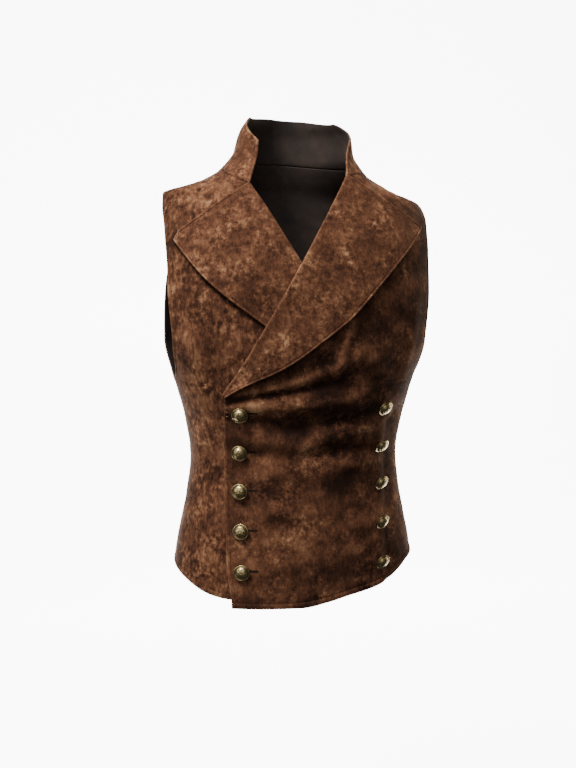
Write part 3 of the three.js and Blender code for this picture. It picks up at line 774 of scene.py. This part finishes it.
def velvet(name, broad, blotch, streak, flecks, level):
    """Distressed brown velvet: blotches where the pile lies differently, lighter on ridges and edges and
    darker in hollows by the mesh's attribute, which holds worn nap and painted light and shade.

    broad, blotch and streak are each (weight, size), and flecks is the weight of small worn spots.
    level shifts it all lighter or darker.
    """
    look = Look(name)
    place = look.place()
    patches = look.noise(place, broad[1], 3, 0.55)
    spots = look.noise(place, blotch[1], 6, 0.68, 0.25)
    smears = look.noise(look.place(NAP["stretch"]), streak[1], 4, 0.65, 0.4)
    grain = look.noise(place, NAP["grain"], 2, 0.5)
    where = look.noise(place, PATCHY["size"], 2, 0.5)
    strength = look.math("MULTIPLY_ADD", where, PATCHY["gain"], PATCHY["offset"])
    strength = look.math("MAXIMUM", strength, PATCHY["least"])
    spots = look.math("MULTIPLY_ADD", look.math("SUBTRACT", spots, 0.5), strength, 0.5)
    tone = look.math("MULTIPLY", grain, NAP["grain_weight"])
    for source, (weight, _) in ((patches, broad), (spots, blotch), (smears, streak)):
        tone = look.math("MULTIPLY_ADD", source, weight, tone)
    middle = 0.5 * (NAP["grain_weight"] + broad[0] + blotch[0] + streak[0])
    tone = look.math("MULTIPLY_ADD", tone, NAP["gain"], 0.5 + level - NAP["gain"] * middle)
    # The attribute adds wear, and on the cloth painted shade in hollows and painted highlights on ridges and
    # edges.
    tone = look.math("MULTIPLY_ADD", look.wear_and_painted_light(), NAP["wear_and_painted_light"], tone)
    fleck = look.math("MULTIPLY_ADD", where, FLECK["gate"], look.noise(place, FLECK["size"], 5, 0.72, 0.3))
    fleck = look.math("MAXIMUM", look.math("SUBTRACT", fleck, FLECK["from"]), 0.0)
    tone = look.math("MULTIPLY_ADD", fleck, flecks, tone)
    lay = look.bump(spots, 0.3, 0.8)
    return look.finish(
        look.ramp(tone, VELVET_STOPS), look.math("MULTIPLY_ADD", spots, -NAP["smooth"], 1.0),
        Normal=look.bump(grain, 0.35, 0.2, Normal=lay), Sheen_Weight=0.05, Sheen_Roughness=0.4,
        Sheen_Tint=(1.0, 0.60, 0.40, 1), Specular_IOR_Level=0.10,
    )


def cloth_back():
    """The reverse of the cloth: plain, dark and a little uneven."""
    look = Look("cloth_reverse")
    place = look.place()
    weave = look.noise(place, 0.8, 1)
    tone = look.math("MULTIPLY_ADD", weave, 0.4, look.noise(place, 24, 3))
    colours = [(0.45, (0.010, 0.0052, 0.0036)), (0.95, (0.030, 0.0155, 0.0100))]
    return look.finish(look.ramp(tone, colours), 0.8, Normal=look.bump(weave, 0.3, 0.15))


def thread(name, dark, light):
    look = Look(name)
    place = look.place()
    tone = look.ramp(look.noise(place, 3, 2), [(0.3, dark), (0.7, light)])
    twist = look.add("TexWave", {"Scale": 1 / (1.2 * MM), "Vector": place}, bands_direction="DIAGONAL")
    return look.finish(tone, 0.75, Normal=look.bump(twist.outputs["Fac"], 0.5, 0.1), Specular_IOR_Level=0.15)


def antique_brass():
    """Brass, dark in the recesses and worn bright where the attribute "wear" is high."""
    look = Look("antique_brass")
    place = look.place()
    tone = look.math("MULTIPLY_ADD", look.noise(place, 2.2, 5, 0.6), 0.4, look.wear_and_painted_light())
    colours = [(0.15, (0.016, 0.011, 0.006)), (0.5, (0.190, 0.138, 0.058)), (1.0, (0.66, 0.53, 0.28))]
    fine = look.bump(look.noise(place, 0.7, 2), 0.25, 0.12)
    rough = look.math("MULTIPLY_ADD", tone, -0.2, 0.48)
    return look.finish(look.ramp(tone, colours), rough, Normal=fine, Metallic=1.0)


BROAD_VELVET = velvet("velvet_broad", (1.0, 46), (0.6, 12), (0.45, 3.4), 1.6, -0.125)
STREAKED_VELVET = velvet("velvet_streaked", (0.7, 40), (0.75, 10), (0.8, 4.2), 1.0, -0.035)
FINE_VELVET = velvet("velvet_fine", (0.4, 30), (0.95, 8), (0.4, 2.6), 1.2, -0.03)
REVERSE = cloth_back()
THREAD = thread("brown_thread", (0.040, 0.0155, 0.008), (0.110, 0.046, 0.024))
DARK_THREAD = thread("dark_thread", (0.010, 0.0045, 0.003), (0.030, 0.013, 0.008))
LIGHT_THREAD = thread("light_thread", (0.16, 0.085, 0.05), (0.30, 0.17, 0.10))
# Painted shadow: a near-black sheet laid in each buttonhole's opening.
SLIT_SHADOW = Look("slit_shadow").finish((0.002, 0.0012, 0.001, 1), 1.0)
BRASS = antique_brass()

# ---- the panels


def dressed(piece, node=None):
    """A piece that rides on the one body, in place of node's solid where one is named."""
    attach(piece, "root")
    if node:
        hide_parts(node)
    return piece


def outer_tree(outer):
    """The outer face of a grid, for laying stitches on it."""
    rows, columns = outer.shape[:2]
    faces = quads(np.arange(rows * columns).reshape(rows, columns)).tolist()
    return BVHTree.FromPolygons(outer.reshape(-1, 3).tolist(), faces)


def lapel_top(front, outline):
    return curve_through([(front["neck_x"], front["neck_z"]), *outline["top"][::-1], outline["tip"]])


def painted_lapel_shadow(x, z, front, outline, sign):
    """Painted shadow that a lapel casts on its front, a dark strip beside its free edge and along its top, and
    on the left front also in the crease below the break.
    """
    points = np.stack([x, z], axis=-1)
    flip = np.array([sign, 1.0])
    away, share = distance_to(points, curve_through(outline["edge"])(np.linspace(0, 1, 60)) * flip)
    width = mix(LAPEL_SHADOW["at_break"], LAPEL_SHADOW["half_width"], ease(share * LAPEL_SHADOW["narrowing"]))
    painted_band = LAPEL_SHADOW["inner" if sign > 0 else "outer"] * bell(away, width) * ease(share * LAPEL_SHADOW["start"])
    away, share = distance_to(points, lapel_top(front, outline)(np.linspace(0, 1, 40)) * flip)
    painted_band = painted_band + TOP_SHADOW["depth"] * bell(away, TOP_SHADOW["half_width"]) * ease(share * TOP_SHADOW["start"])
    if sign > 0:
        return painted_band
    away, share = distance_to(points, CREASE_SHADOW["path"] * flip)
    return painted_band + CREASE_SHADOW["depth"] * bell(away, CREASE_SHADOW["half_width"]) * (1 - share)


def cloth_panel(node, side, surface, columns, rows, lift, seed, look, lapel=None, inset_front=None):
    """A front or a back half, with the tree of its outer face and the places of its stitches."""
    u, t = panel_grid(surface, columns, rows)
    z, angle = surface(u, t)
    angle = side * angle
    x = form_point(z, angle)[..., 0]
    raised = lift(x, z)
    inner, normals = lifted(z, angle, raised), form_normal(z, angle)
    across = lengths_along(inner)
    in_arm = (t[:, -1] >= 1) & (t[:, -1] <= 2)
    hem, arm = inner[0], inner[in_arm, -1]
    near_arm, near_hem = distance_to(inner, arm[::3])[0], distance_to(inner, hem[::4])[0]
    to_edge = np.minimum(near_arm, near_hem)
    relief = ripple(inner, seed, "panel", to_edge)
    relief = relief + turned_edge(near_hem, INSET["hem"]) + turned_edge(near_arm, INSET["armhole"])
    to_seam = np.where((t < 1) | (t > 2), across[:, -1:] - across, np.inf)
    if not lapel:
        to_seam = np.minimum(to_seam, across)
    relief = relief - SEAM_GROOVE["depth"] * bell(to_seam, SEAM_GROOVE["half_width"])
    borders = [(hem, normals[0], INSET["hem"]), (arm, normals[in_arm, -1], INSET["armhole"])]
    if inset_front:
        over_break = z - INNER_FRONT["break_z"]
        below = ease((FRONT_WELT["top"] - over_break) / FRONT_WELT["run"])
        relief = relief + turned_edge(across, inset_front) * below
        to_edge = np.minimum(to_edge, across + FRONT_WELT["off"] * (1 - below))
        low = over_break[:, 0] < FRONT_WELT["stitch_top"]
        borders.append((inner[low, 0], normals[low, 0], inset_front))
    outer = inner + normals * (CLOTH + relief)[..., None]
    # Painted shade in the hollows and painted highlights on ridges and edges, besides wear of the nap.
    wear_and_painted_light = painted_light_and_wear(raised + relief, to_edge)
    # On a front, the painted shadow beside its lapel and in the crease below it is taken off the attribute.
    if lapel:
        wear_and_painted_light = wear_and_painted_light - painted_lapel_shadow(x, z, *lapel, -side)
    piece = shell(node, inner, outer, look, wear_and_painted_light)
    tree, middle, runs = outer_tree(outer), inner.mean(axis=(0, 1)), []
    for border, facing, inset in borders:
        path = inset_path(border, facing, inset, middle)
        keep = np.full(len(path), True)
        for other, _, least in borders:
            keep &= distance_to(path, other[::3])[0] > CORNER_CLEAR["panel"] * least
        runs += raised_run(tree, path[keep], facing[keep], STITCH["pitch"])
    return piece, tree, runs


def stitched(name, runs, material=THREAD, *size):
    return dressed(thread_mesh(name, runs, material, *size))


# ---- lapels and collar

ROLL_RADIUS = (CLOTH + LAYER_GAP + LAPEL_CLOTH) / 2  # of the lapel's outer face over the front's edge
ROLL_STEPS = np.radians(np.linspace(-72, 84, 11))
ROLLED = len(ROLL_STEPS)
FLAT_ACROSS = ROLL_INSET + 0.9  # where the flat part starts, square to the roll
LAPEL_GRID = {"columns": 84, "rows": 150, "inside": np.s_[-40:, 50:70], "first_stitched": 8}
RELIEF_START = {"ripple": 5, "edge": 8}  # the relief is whole at 1 / that share from the roll to the edge
SPRING = {"at_top": 0.35, "run": 6, "clear": 6, "over": 50}


def lapel_outline(front, outline):
    """The lapel's roll, its free edge and its top, as functions of a share."""
    edge = curve_through(outline["edge"])
    corner, tip = np.array(outline["edge"][-1], float), np.array(outline["tip"], float)
    start = np.array([front["fold_x"], front["break_z"]], float)
    end = np.array([front["neck_x"], front["neck_z"]], float)

    def free_edge(v):
        on_edge = edge(np.clip(v / (1 - LAPEL_TIP_SHARE), 0, 1))
        on_tip = mix(corner, tip, np.clip((v - 1 + LAPEL_TIP_SHARE) / LAPEL_TIP_SHARE, 0, 1)[..., None])
        return np.where((v <= 1 - LAPEL_TIP_SHARE)[..., None], on_edge, on_tip)

    return lambda v: mix(start, end, v[..., None]), free_edge, lapel_top(front, outline)


def lapel_grids(front, side, lift, outline, free):
    """The lapel's two faces as front-view points and heights over the form, with its share across."""
    left, right, top = lapel_outline(front, outline)

    def flat(share, v):
        across = share[..., None]
        bottom = mix(left(np.zeros_like(v)), right(np.zeros_like(v)), across)
        level_top = mix(left(np.ones_like(v)), right(np.ones_like(v)), across)
        corners = mix(bottom, level_top, v[..., None])
        return [-side, 1] * (mix(left(v), right(v), across) + mix(bottom, top(share), v[..., None]) - corners)

    fine = np.linspace(0, 1, 60)
    roll_length = np.linalg.norm(left(np.array(1.0)) - left(np.array(0.0)))
    heights = stations(roll_length, LAPEL_GRID["rows"]) / roll_length
    walked = lengths_along(flat(*np.broadcast_arrays(fine[None, :], heights[:, None])))
    share = np.stack([np.interp(far_stations(row[-1], LAPEL_GRID["columns"]), row, fine) for row in walked])
    share = np.concatenate([np.zeros((len(share), ROLLED)), share], axis=1)
    v = np.broadcast_to(heights[:, None], share.shape)
    here = flat(share, v)
    ahead = flat(share + 0.05, v) - here
    direction = ahead / np.maximum(np.linalg.norm(ahead, axis=-1, keepdims=True), 1e-9)
    turn = np.concatenate([ROLL_STEPS, np.full(share.shape[1] - ROLLED, math.pi / 2)])
    faces = []
    for radius in (ROLL_RADIUS - LAPEL_CLOTH, ROLL_RADIUS):
        rolled = ROLL_RADIUS - radius * np.cos(turn)
        across = np.where(np.arange(len(turn)) < ROLLED, rolled, FLAT_ACROSS * (1 - share))
        x, z = np.moveaxis(here + direction * across[..., None], -1, 0)
        up = ROLL_RADIUS + radius * np.sin(turn) + lift(x, z)
        up = up + spring(share, v) * free(x, z) + shoulder_ease(z)
        faces.append((x, z, up))
    return faces, share


def shoulder_ease(z):
    low, high = SHOULDER_EASE["from_z"], SHOULDER_EASE["full_z"]
    return SHOULDER_EASE["height"] * ease((z - low) / (high - low))


def spring(share, v):
    """How far a lapel stands off its front, most at its free edge and less at its top."""
    return LAPEL_SPRING * ease(share) * mix(SPRING["at_top"], 1, ease((1 - v) * SPRING["run"]))


def beside_outer(x, z):
    """1 where nothing lies on the inner lapel, and 0 under the outer front."""
    return ease((edge_x(OUTER_FRONT, 1, z) - SPRING["clear"] - x) / SPRING["over"])


def lapel_piece(node, front, side, lift, outline, free, seed):
    """A lapel rolled over its front's edge, with the same as a panel's. free says where nothing lies on it."""
    (inner_at, outer_at), share = lapel_grids(front, side, lift, outline, free)
    inner, outer = [lifted(z, angle_at_x(z, x), up) for x, z, up in (inner_at, outer_at)]
    x, z, _ = outer_at
    normals = form_normal(z, angle_at_x(z, x))
    border, facing = [np.concatenate([rows[:, -1], rows[-1, ROLLED:-1][::-1]]) for rows in (outer, normals)]
    near = distance_to(outer, border[::2])[0]
    relief = ripple(outer, seed, "lapel", near) * ease(share * RELIEF_START["ripple"])
    relief = relief + turned_edge(near, INSET["lapel"]) * ease(share * RELIEF_START["edge"])
    outer = outer + normals * relief[..., None]
    from_roll = lengths_along(outer)
    from_roll = np.abs(from_roll - from_roll[:, [ROLLED // 2]])
    # Painted shade in hollows and painted highlights on ridges, edges and along the roll, besides wear of the
    # nap.
    wear_and_painted_light = painted_light_and_wear(relief, np.minimum(near, from_roll * 0.8))
    piece = shell(node, inner, outer, FINE_VELVET, wear_and_painted_light)
    tree, first = outer_tree(outer[:, ROLLED:]), LAPEL_GRID["first_stitched"]
    inside = outer[LAPEL_GRID["inside"]].mean(axis=(0, 1))
    path = inset_path(border[first:], facing[first:], INSET["lapel"], inside)
    keep = distance_to(path, border)[0] > CORNER_CLEAR["lapel"] * INSET["lapel"]
    return piece, tree, raised_run(tree, path[keep], facing[first:][keep], STITCH["pitch"])


COLLAR_CREASES = [  # x counts along the neck from the collar's middle at the back
    (0.9, 6, [(-196, 4), (-190, 40)]),
    (-0.8, 5, [(-176, 2), (-172, 46)]),
    (0.8, 7, [(-150, 6), (-142, 52)]),
    (-0.7, 6, [(-112, 10), (-104, 50)]),
    (0.8, 7, [(-60, 14), (-52, 60)]),
    (-0.7, 6, [(10, 12), (16, 58)]),
    (0.8, 7, [(72, 10), (66, 56)]),
    (-0.8, 5, [(128, 6), (134, 48)]),
    (0.9, 6, [(160, 2), (166, 42)]),
    (-1.3, 4, [(190, -8), (186, 44)]),
]
COLLAR_GRID = {"columns": 230, "rows": 44}
COLLAR_FOOT = {"depth": 0.15, "run": 2.5}  # its foot is drawn in a little by the neck seam


def collar_piece():
    """The stand collar, from its end on the right front round the neck to its end on the left front."""
    start, end = -roll_angle(INNER_FRONT), roll_angle(OUTER_FRONT) - 2 * math.pi
    top_start = angle_at_x(COLLAR["front_z"], COLLAR["right_corner_x"])
    top_end = angle_at_x(COLLAR["front_z"], COLLAR["left_corner_x"]) - 2 * math.pi

    def surface(u, v):
        u, v = np.broadcast_arrays(np.asarray(u, float), np.asarray(v, float))
        from_end = np.minimum(u, 1 - u) / COLLAR_CORNER["run"]
        climb = 1 - (1 - np.clip(from_end, 0, 1)) ** COLLAR_CORNER["bend"]
        top_z = mix(mix(COLLAR["front_z"], COLLAR["side_z"], climb), COLLAR["back_z"], ease(from_end - 1))
        foot = mix(start, end, u)
        right, left = neck_seam_z(INNER_FRONT, -foot), neck_seam_z(OUTER_FRONT, 2 * math.pi + foot)
        seam_z = np.where(foot > -math.pi, right, left) - SEAM_LAP
        return mix(seam_z, top_z, v), mix(foot, mix(top_start, top_end, u), v)

    fine = np.linspace(0, 1, 200)
    along = lengths_along(lifted(*surface(fine, 0.5), 0))
    u = np.interp(stations(along[-1], COLLAR_GRID["columns"]), along, fine)
    tall = lengths_along(lifted(*surface(0.5, fine), 0))
    v = np.interp(far_stations(tall[-1], COLLAR_GRID["rows"]), tall, fine)
    z, angle = surface(u[None, :], v[:, None])
    around = np.broadcast_to(mix(along[-1] / 2, -along[-1] / 2, u), z.shape)
    creases = fold_height(COLLAR_CREASES, around, z, CREASE_FADE)
    inner, normals = lifted(z, angle, creases), form_normal(z, angle)
    near = distance_to(inner, np.concatenate([inner[:, 0], inner[-1, 1:-1], inner[::-1, -1]])[::2])[0]
    up = lengths_along(inner, axis=-3)
    relief = turned_edge(near, INSET["collar"]) + ripple(inner, 5.0, "collar", near)
    relief = relief - COLLAR_FOOT["depth"] * np.exp(-up / COLLAR_FOOT["run"])
    outer = inner + normals * (COLLAR_CLOTH + relief)[..., None]
    # The collar's attribute: painted shade in its crease hollows and painted highlights on ridges and edges,
    # besides wear.
    piece = shell("collar", inner, outer, FINE_VELVET, painted_light_and_wear(creases + relief, near))
    tree = outer_tree(outer)
    return piece, tree, raised_run(tree, *around_collar(inner, normals), STITCH["pitch"])


def around_collar(inner, normals):
    """The grid's line, and its normals, at the stitching's distance from the ends and the top."""
    up, across = lengths_along(inner, axis=-3), lengths_along(inner)

    def nearest(lengths):
        return int(np.argmin(np.abs(lengths - INSET["collar"])))

    row, first = nearest(up[-1].mean() - up.mean(axis=1)), nearest(across.mean(axis=0))
    last = nearest(across[:, -1].mean() - across.mean(axis=0))
    return [
        np.concatenate([grid[2:row, first], grid[row, first:last], grid[2:row, last][::-1]])
        for grid in (inner, normals)
    ]


# ---- buttons and buttonholes

FOOT_SECTION = [(0.7, 0), (1.5, 0.7), (1.9, 1.3)]  # radius and height of the shank's foot
RIM_SECTION = [  # radius and height over the shank, from its top out to the rim's front
    (1.9, -0.4), (2.6, 0.1), (9.4, 0.15), (10.1, 0.25), (10.7, 0.55), (10.95, 1.05), (10.9, 1.6),
    (10.55, 2.05), (10.0, 2.25), (9.5, 2.1), (9.2, 1.82), (8.95, 1.8),
]
RIM = {"back_z": 0.4, "front_z": 1.8, "crest": 10.1, "crest_half_width": 0.5, "side": 10}
DOME = {"radius": 8.75, "foot": 1.9, "rise": 4.7, "crowding": 1.1, "full": 0.62, "rings": 28, "segments": 84}
PETALS = {"count": 8, "height": 0.3, "ring": 3.9, "least": 1.2, "swell": 1.0, "vein": 0.45, "thin": 0.14}
BOSS_RADIUS = 1.25
BEADS = {"count": 30, "height": 0.26, "ring": 7.9, "half_width": 0.42}
INNER_RING = {"height": 0.45, "ring": 6.6, "half_width": 0.34}
BRASS_WEAR = {"plain": 0.36, "raised": 0.8, "rim": 0.3, "back": -0.35, "side": -0.28, "ends": (0.1, 0.8)}


def rosette(radius, turn):
    """A plain eight-petalled rosette inside a ring of beads, as a height over the dome."""
    petal = 0.5 + 0.5 * np.cos(PETALS["count"] * turn)
    reach = bell(radius - PETALS["ring"], PETALS["least"] + PETALS["swell"] * petal)
    vein = 1 - PETALS["vein"] * bell(np.sin(PETALS["count"] * turn / 2), PETALS["thin"]) * (petal > 0.5)
    boss = np.exp(-((radius / BOSS_RADIUS) ** 4))
    beads = (0.5 + 0.5 * np.cos(BEADS["count"] * turn)) ** 0.7
    beads = beads * bell(radius - BEADS["ring"], BEADS["half_width"])
    pattern = PETALS["height"] * (petal**0.8 * reach * vein + boss) + BEADS["height"] * beads
    return pattern + INNER_RING["height"] * bell(radius - INNER_RING["ring"], INNER_RING["half_width"])


def button_mesh(shank, spin):
    """A button's points, faces and wear, standing on its shank's foot along +Z."""
    dome = DOME["radius"] * (1 - np.linspace(0, 1, DOME["rings"])[:-1] ** DOME["crowding"])
    rise = DOME["foot"] + DOME["rise"] * (1 - (dome / DOME["radius"]) ** 2) ** DOME["full"]
    over_shank = np.array(RIM_SECTION + list(zip(dome, rise)))
    section = np.vstack([FOOT_SECTION, over_shank + [0, shank]])
    turn = np.arange(DOME["segments"]) * 2 * math.pi / DOME["segments"]
    radius, turns = np.broadcast_arrays(section[:, :1], turn[None, :])
    on_dome = np.arange(len(section)) >= len(section) - len(dome)
    raised = rosette(radius, turns) * on_dome[:, None]
    height = section[:, 1:] + raised
    grid = np.stack([radius * np.cos(turns + spin), radius * np.sin(turns + spin), height], axis=-1)
    index = np.arange(radius.size).reshape(radius.shape)
    index = np.concatenate([index, index[:, :1]], axis=1)
    foot, crown = radius.size, radius.size + 1
    points = np.vstack([grid.reshape(-1, 3), (0, 0, 0), (0, 0, shank + rise[-1] + PETALS["height"])])
    faces = quads(index)[:, ::-1].tolist()
    faces += [[foot, a, b] for a, b in zip(index[0, 1:].tolist(), index[0, :-1].tolist())]
    faces += [[crown, a, b] for a, b in zip(index[-1, :-1].tolist(), index[-1, 1:].tolist())]
    out, up = section[:, 0], section[:, 1] - shank
    back, side = up < RIM["back_z"], (up >= RIM["back_z"]) & (up < RIM["front_z"]) & (out > RIM["side"])
    rim = bell(out - RIM["crest"], RIM["crest_half_width"]) * (up > RIM["front_z"])
    part = BRASS_WEAR["rim"] * rim + BRASS_WEAR["back"] * back + BRASS_WEAR["side"] * side
    wear_and_painted_light = BRASS_WEAR["plain"] + BRASS_WEAR["raised"] * raised + part[:, None]
    return points, faces, np.append(wear_and_painted_light, BRASS_WEAR["ends"])


def button_piece(column, number, x, z, shank, droop, turned, surface):
    """A button whose foot is seated on a surface, which droops and is turned outwards on its shank."""
    angle = angle_at_x(z, x)
    facing = Vector(form_normal(z, angle))
    hit = surface.ray_cast(Vector(lifted(z, angle, 60.0)) * MM, -facing, 1.0)[0]
    spot = hit / MM + facing * BUTTON["seat"]
    axis = Vector(facing)
    axis.rotate(Quaternion(Vector((0, 0, 1)).cross(facing).normalized(), math.radians(droop)))
    axis.rotate(Quaternion((0, 0, 1), math.radians(turned)))
    spin = BUTTON["spin"] * math.sin(2.3 * (number - 1) + x)
    points, faces, wear_and_painted_light = button_mesh(shank, spin)
    turn = np.array(Vector((0, 0, 1)).rotation_difference(axis).to_matrix())
    name = f"button_brass_{column}_{number}"
    made = mesh_object(name, points @ turn.T + np.array(spot), faces, [BRASS], wear_and_painted_light=wear_and_painted_light)
    dressed(made, f"button_{column}_{number}")


BUTTONHOLE = {
    "start": 3.0, "end": 19.5, "rise": 1.0, "half_width": 0.85, "pitch": 0.62, "stitch": 1.7, "radius": 0.3,
    "end_half_width": 1.1,
}
SLIT_SIZE = {"short_of_end": 0.4, "pitch": 0.9, "off": 0.12, "half_width": 0.42}
BARS = {"x": (-103.6, -98.6), "heights": (-320, -326.5, -333), "radius": 0.42}


def over_cloth(x, z):
    """Points just over the cloth at front-view points, and the form's normals there."""
    x, z = np.broadcast_arrays(x, np.asarray(z, float))
    angle = angle_at_x(z, x)
    return lifted(z, angle, np.full(x.shape, 5.0)), form_normal(z, angle)


def buttonhole_stitches(tree, x, z):
    """A worked buttonhole: close stitches square to the slit along both its sides and across its end."""
    run = np.linspace(x + BUTTONHOLE["start"], x + BUTTONHOLE["end"], 24)
    middle, half_width, end = z + BUTTONHOLE["rise"], BUTTONHOLE["half_width"], BUTTONHOLE["end_half_width"]
    across_end = (run[-1] + 0.3, middle + np.linspace(-end, end, 6))
    lines = [(run, middle - half_width), (run, middle + half_width), across_end]
    return [
        (spot, np.cross(normal, along), normal)
        for line in lines for spot, along, normal in raised_run(tree, *over_cloth(*line), BUTTONHOLE["pitch"])
    ]


def slit(name, tree, x, z):
    """A near-black strip, painted as the shadow in the opening between a buttonhole's two rows of stitches."""
    run = np.linspace(x + BUTTONHOLE["start"], x + BUTTONHOLE["end"] - SLIT_SIZE["short_of_end"], 24)
    landed = raised_run(tree, *over_cloth(run, z + BUTTONHOLE["rise"]), SLIT_SIZE["pitch"])
    spots = np.array([spot + normal * SLIT_SIZE["off"] for spot, _, normal in landed])
    ups = np.array([np.cross(normal, along) / np.linalg.norm(along) for _, along, normal in landed])
    half = SLIT_SIZE["half_width"] * np.sqrt(np.sin(np.linspace(0.06, math.pi - 0.06, len(spots))))[:, None]
    grid = np.stack([spots - ups * half, spots + ups * half], axis=1)
    faces = quads(np.arange(len(spots) * 2).reshape(-1, 2))
    return dressed(mesh_object(name, grid.reshape(-1, 3), faces, [SLIT_SHADOW]))


def bar_stitches(tree):
    """Three bars of light thread that hold the front's edge below the lapel's break."""
    stitches = []
    for z in BARS["heights"]:
        landed = raised_run(tree, *over_cloth(np.linspace(*BARS["x"], 9), z), 1.0)
        if landed:
            stitches.append(landed[len(landed) // 2])
    return stitches


# ---- the waistcoat

PANELS = {  # side, surface, columns, rows, lift, seed, look and, on a front, its lapel and its edge's inset
    "front_left": (
        1, front_surface(OUTER_FRONT, 1, OUTER_HEM), 150, (150, 84, 30), with_shoulder(outer_lift), 0.4,
        BROAD_VELVET, (OUTER_FRONT, OUTER_LAPEL), INSET["front_edge"],
    ),
    "front_right": (
        -1, front_surface(INNER_FRONT, -1, INNER_HEM), 104, (120, 76, 26), with_shoulder(inner_lift), 1.7,
        STREAKED_VELVET, (INNER_FRONT, INNER_LAPEL),
    ),
    "back_right": (-1, back_surface(-1, INNER_HEM), 104, (110, 76, 26), back_lift(-1), 2.9, STREAKED_VELVET),
    "back_left": (1, back_surface(1, OUTER_HEM), 104, (110, 76, 26), back_lift(1), 4.1, STREAKED_VELVET),
}
made = {node: cloth_panel(node, *row) for node, row in PANELS.items()}
made["lapel_right"] = lapel_piece("lapel_right", INNER_FRONT, -1, inner_lift, INNER_LAPEL, beside_outer, 3.3)
made["lapel_left"] = lapel_piece("lapel_left", OUTER_FRONT, 1, outer_lift, OUTER_LAPEL, lambda x, z: 1, 5.2)
made["collar"] = collar_piece()
sewing = {node: [stitched(f"{node}_topstitch", runs)] for node, (_, _, runs) in made.items()}

left_tree = made["front_left"][1]
hole_x, top_hole_z, _, right_droops, _ = BUTTON_COLUMNS["right"]
holes = [(hole_x, top_hole_z - i * BUTTON["pitch"]) for i in range(len(right_droops))]
hole_runs = [stitch for hole in holes for stitch in buttonhole_stitches(left_tree, *hole)]
sewing["front_left"] += [
    stitched("buttonhole_threads", hole_runs, DARK_THREAD, BUTTONHOLE["stitch"], BUTTONHOLE["radius"]),
    stitched("edge_bars", bar_stitches(left_tree), LIGHT_THREAD, BARS["x"][1] - BARS["x"][0], BARS["radius"]),
    *[slit(f"buttonhole_slit_shadow_{i + 1}", left_tree, *hole) for i, hole in enumerate(holes)],
]

left_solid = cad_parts["front_left"].data
corners = [vertex.co for vertex in left_solid.vertices]
solid_tree = BVHTree.FromPolygons(corners, [face.vertices for face in left_solid.polygons])
for column, (x, top_z, shank, droops, turns) in BUTTON_COLUMNS.items():
    for i, (droop, turned) in enumerate(zip(droops, turns)):
        button_piece(column, i + 1, x, top_z - i * BUTTON["pitch"], shank, droop, turned, solid_tree)

# ---- camera, stage and lights

CAMERA = {"azimuth": -10, "elevation": 6, "distance": 1350, "right": -7.1, "height": -305, "focal_px": 950.7}
FRAME_PX = (576, 768)
STAGE = {
    "middle_x": 420, "half_width": 1320, "front_y": 300, "back_y": 2400, "floor_z": -1150, "bend": 900,
    "top_z": 1250, "glow": 8.0,
}
LIGHTS = [  # name, place in metres, height of its aim, width and height, watts and colour
    ("key", (-1.15, -0.95, 1.85), -0.25, (0.6, 0.6), 128, (1.0, 0.97, 0.93)),
    ("overhead", (-0.3, -1.15, 1.6), -0.3, (1.5, 0.3), 15, (1.0, 0.98, 0.95)),
    ("fill", (-0.3, -2.2, 0.3), -0.3, (1.4, 1.4), 13, (0.97, 0.98, 1.0)),
    ("left_side", (-2.0, -0.75, 0.1), -0.45, (1.0, 1.5), 18, (1.0, 0.98, 0.95)),
    ("right_rim", (1.5, 0.4, 0.1), -0.35, (0.8, 1.4), 20, (1.0, 0.86, 0.66)),
]


def add_aimed(data, place, direction):
    made = bpy.data.objects.new(data.name, data)
    made.location = place
    made.rotation_euler = direction.to_track_quat("-Z", "Y").to_euler()
    bpy.context.scene.collection.objects.link(made)
    return made


def add_camera():
    azimuth, elevation = math.radians(CAMERA["azimuth"]), math.radians(CAMERA["elevation"])
    level = math.cos(elevation)
    back = Vector((math.sin(azimuth) * level, -math.cos(azimuth) * level, math.sin(elevation)))
    right = Vector((math.cos(azimuth), math.sin(azimuth), 0))
    target = right * CAMERA["right"] + Vector((0, 0, CAMERA["height"]))
    data = bpy.data.cameras.new("camera")
    data.lens = CAMERA["focal_px"] / max(FRAME_PX) * data.sensor_width
    bpy.context.scene.camera = add_aimed(data, (target + back * CAMERA["distance"]) * MM, -back)


def add_light(name, place, aim_z, size, energy, colour):
    data = bpy.data.lights.new(name, "AREA")
    data.shape = "RECTANGLE"
    data.size, data.size_y = size
    data.energy = energy
    data.color = colour
    add_aimed(data, place, Vector((0, 0, aim_z)) - Vector(place))


def add_stage():
    """A white glowing floor behind the garment that curves up into a backdrop."""
    across = STAGE["middle_x"] + np.linspace(-STAGE["half_width"], STAGE["half_width"], 9)
    radius, back_y, floor_z = STAGE["bend"], STAGE["back_y"], STAGE["floor_z"]
    bend = np.linspace(0, math.pi / 2, 12)
    profile = [(STAGE["front_y"], floor_z)]
    profile += [(back_y - radius + radius * math.sin(a), floor_z + radius * (1 - math.cos(a))) for a in bend]
    profile += [(back_y, STAGE["top_z"])]
    points = np.array([[(x, y, z) for x in across] for y, z in profile], float)
    index = np.arange(len(profile) * len(across)).reshape(len(profile), len(across))
    pale = Look("pale_stage").finish(
        (0.9, 0.9, 0.9, 1), 0.9, Emission_Color=(1, 1, 1, 1), Emission_Strength=STAGE["glow"])
    mesh_object("stage_floor", points.reshape(-1, 3), quads(index), [pale])


def add_world():
    world = bpy.data.worlds.new("studio")
    world.use_nodes = True
    background = world.node_tree.nodes["Background"]
    background.inputs["Color"].default_value = (0.93, 0.96, 1.0, 1)
    background.inputs["Strength"].default_value = 0.07
    bpy.context.scene.world = world


add_camera()
add_stage()
add_world()
for row in LIGHTS:
    add_light(*row)
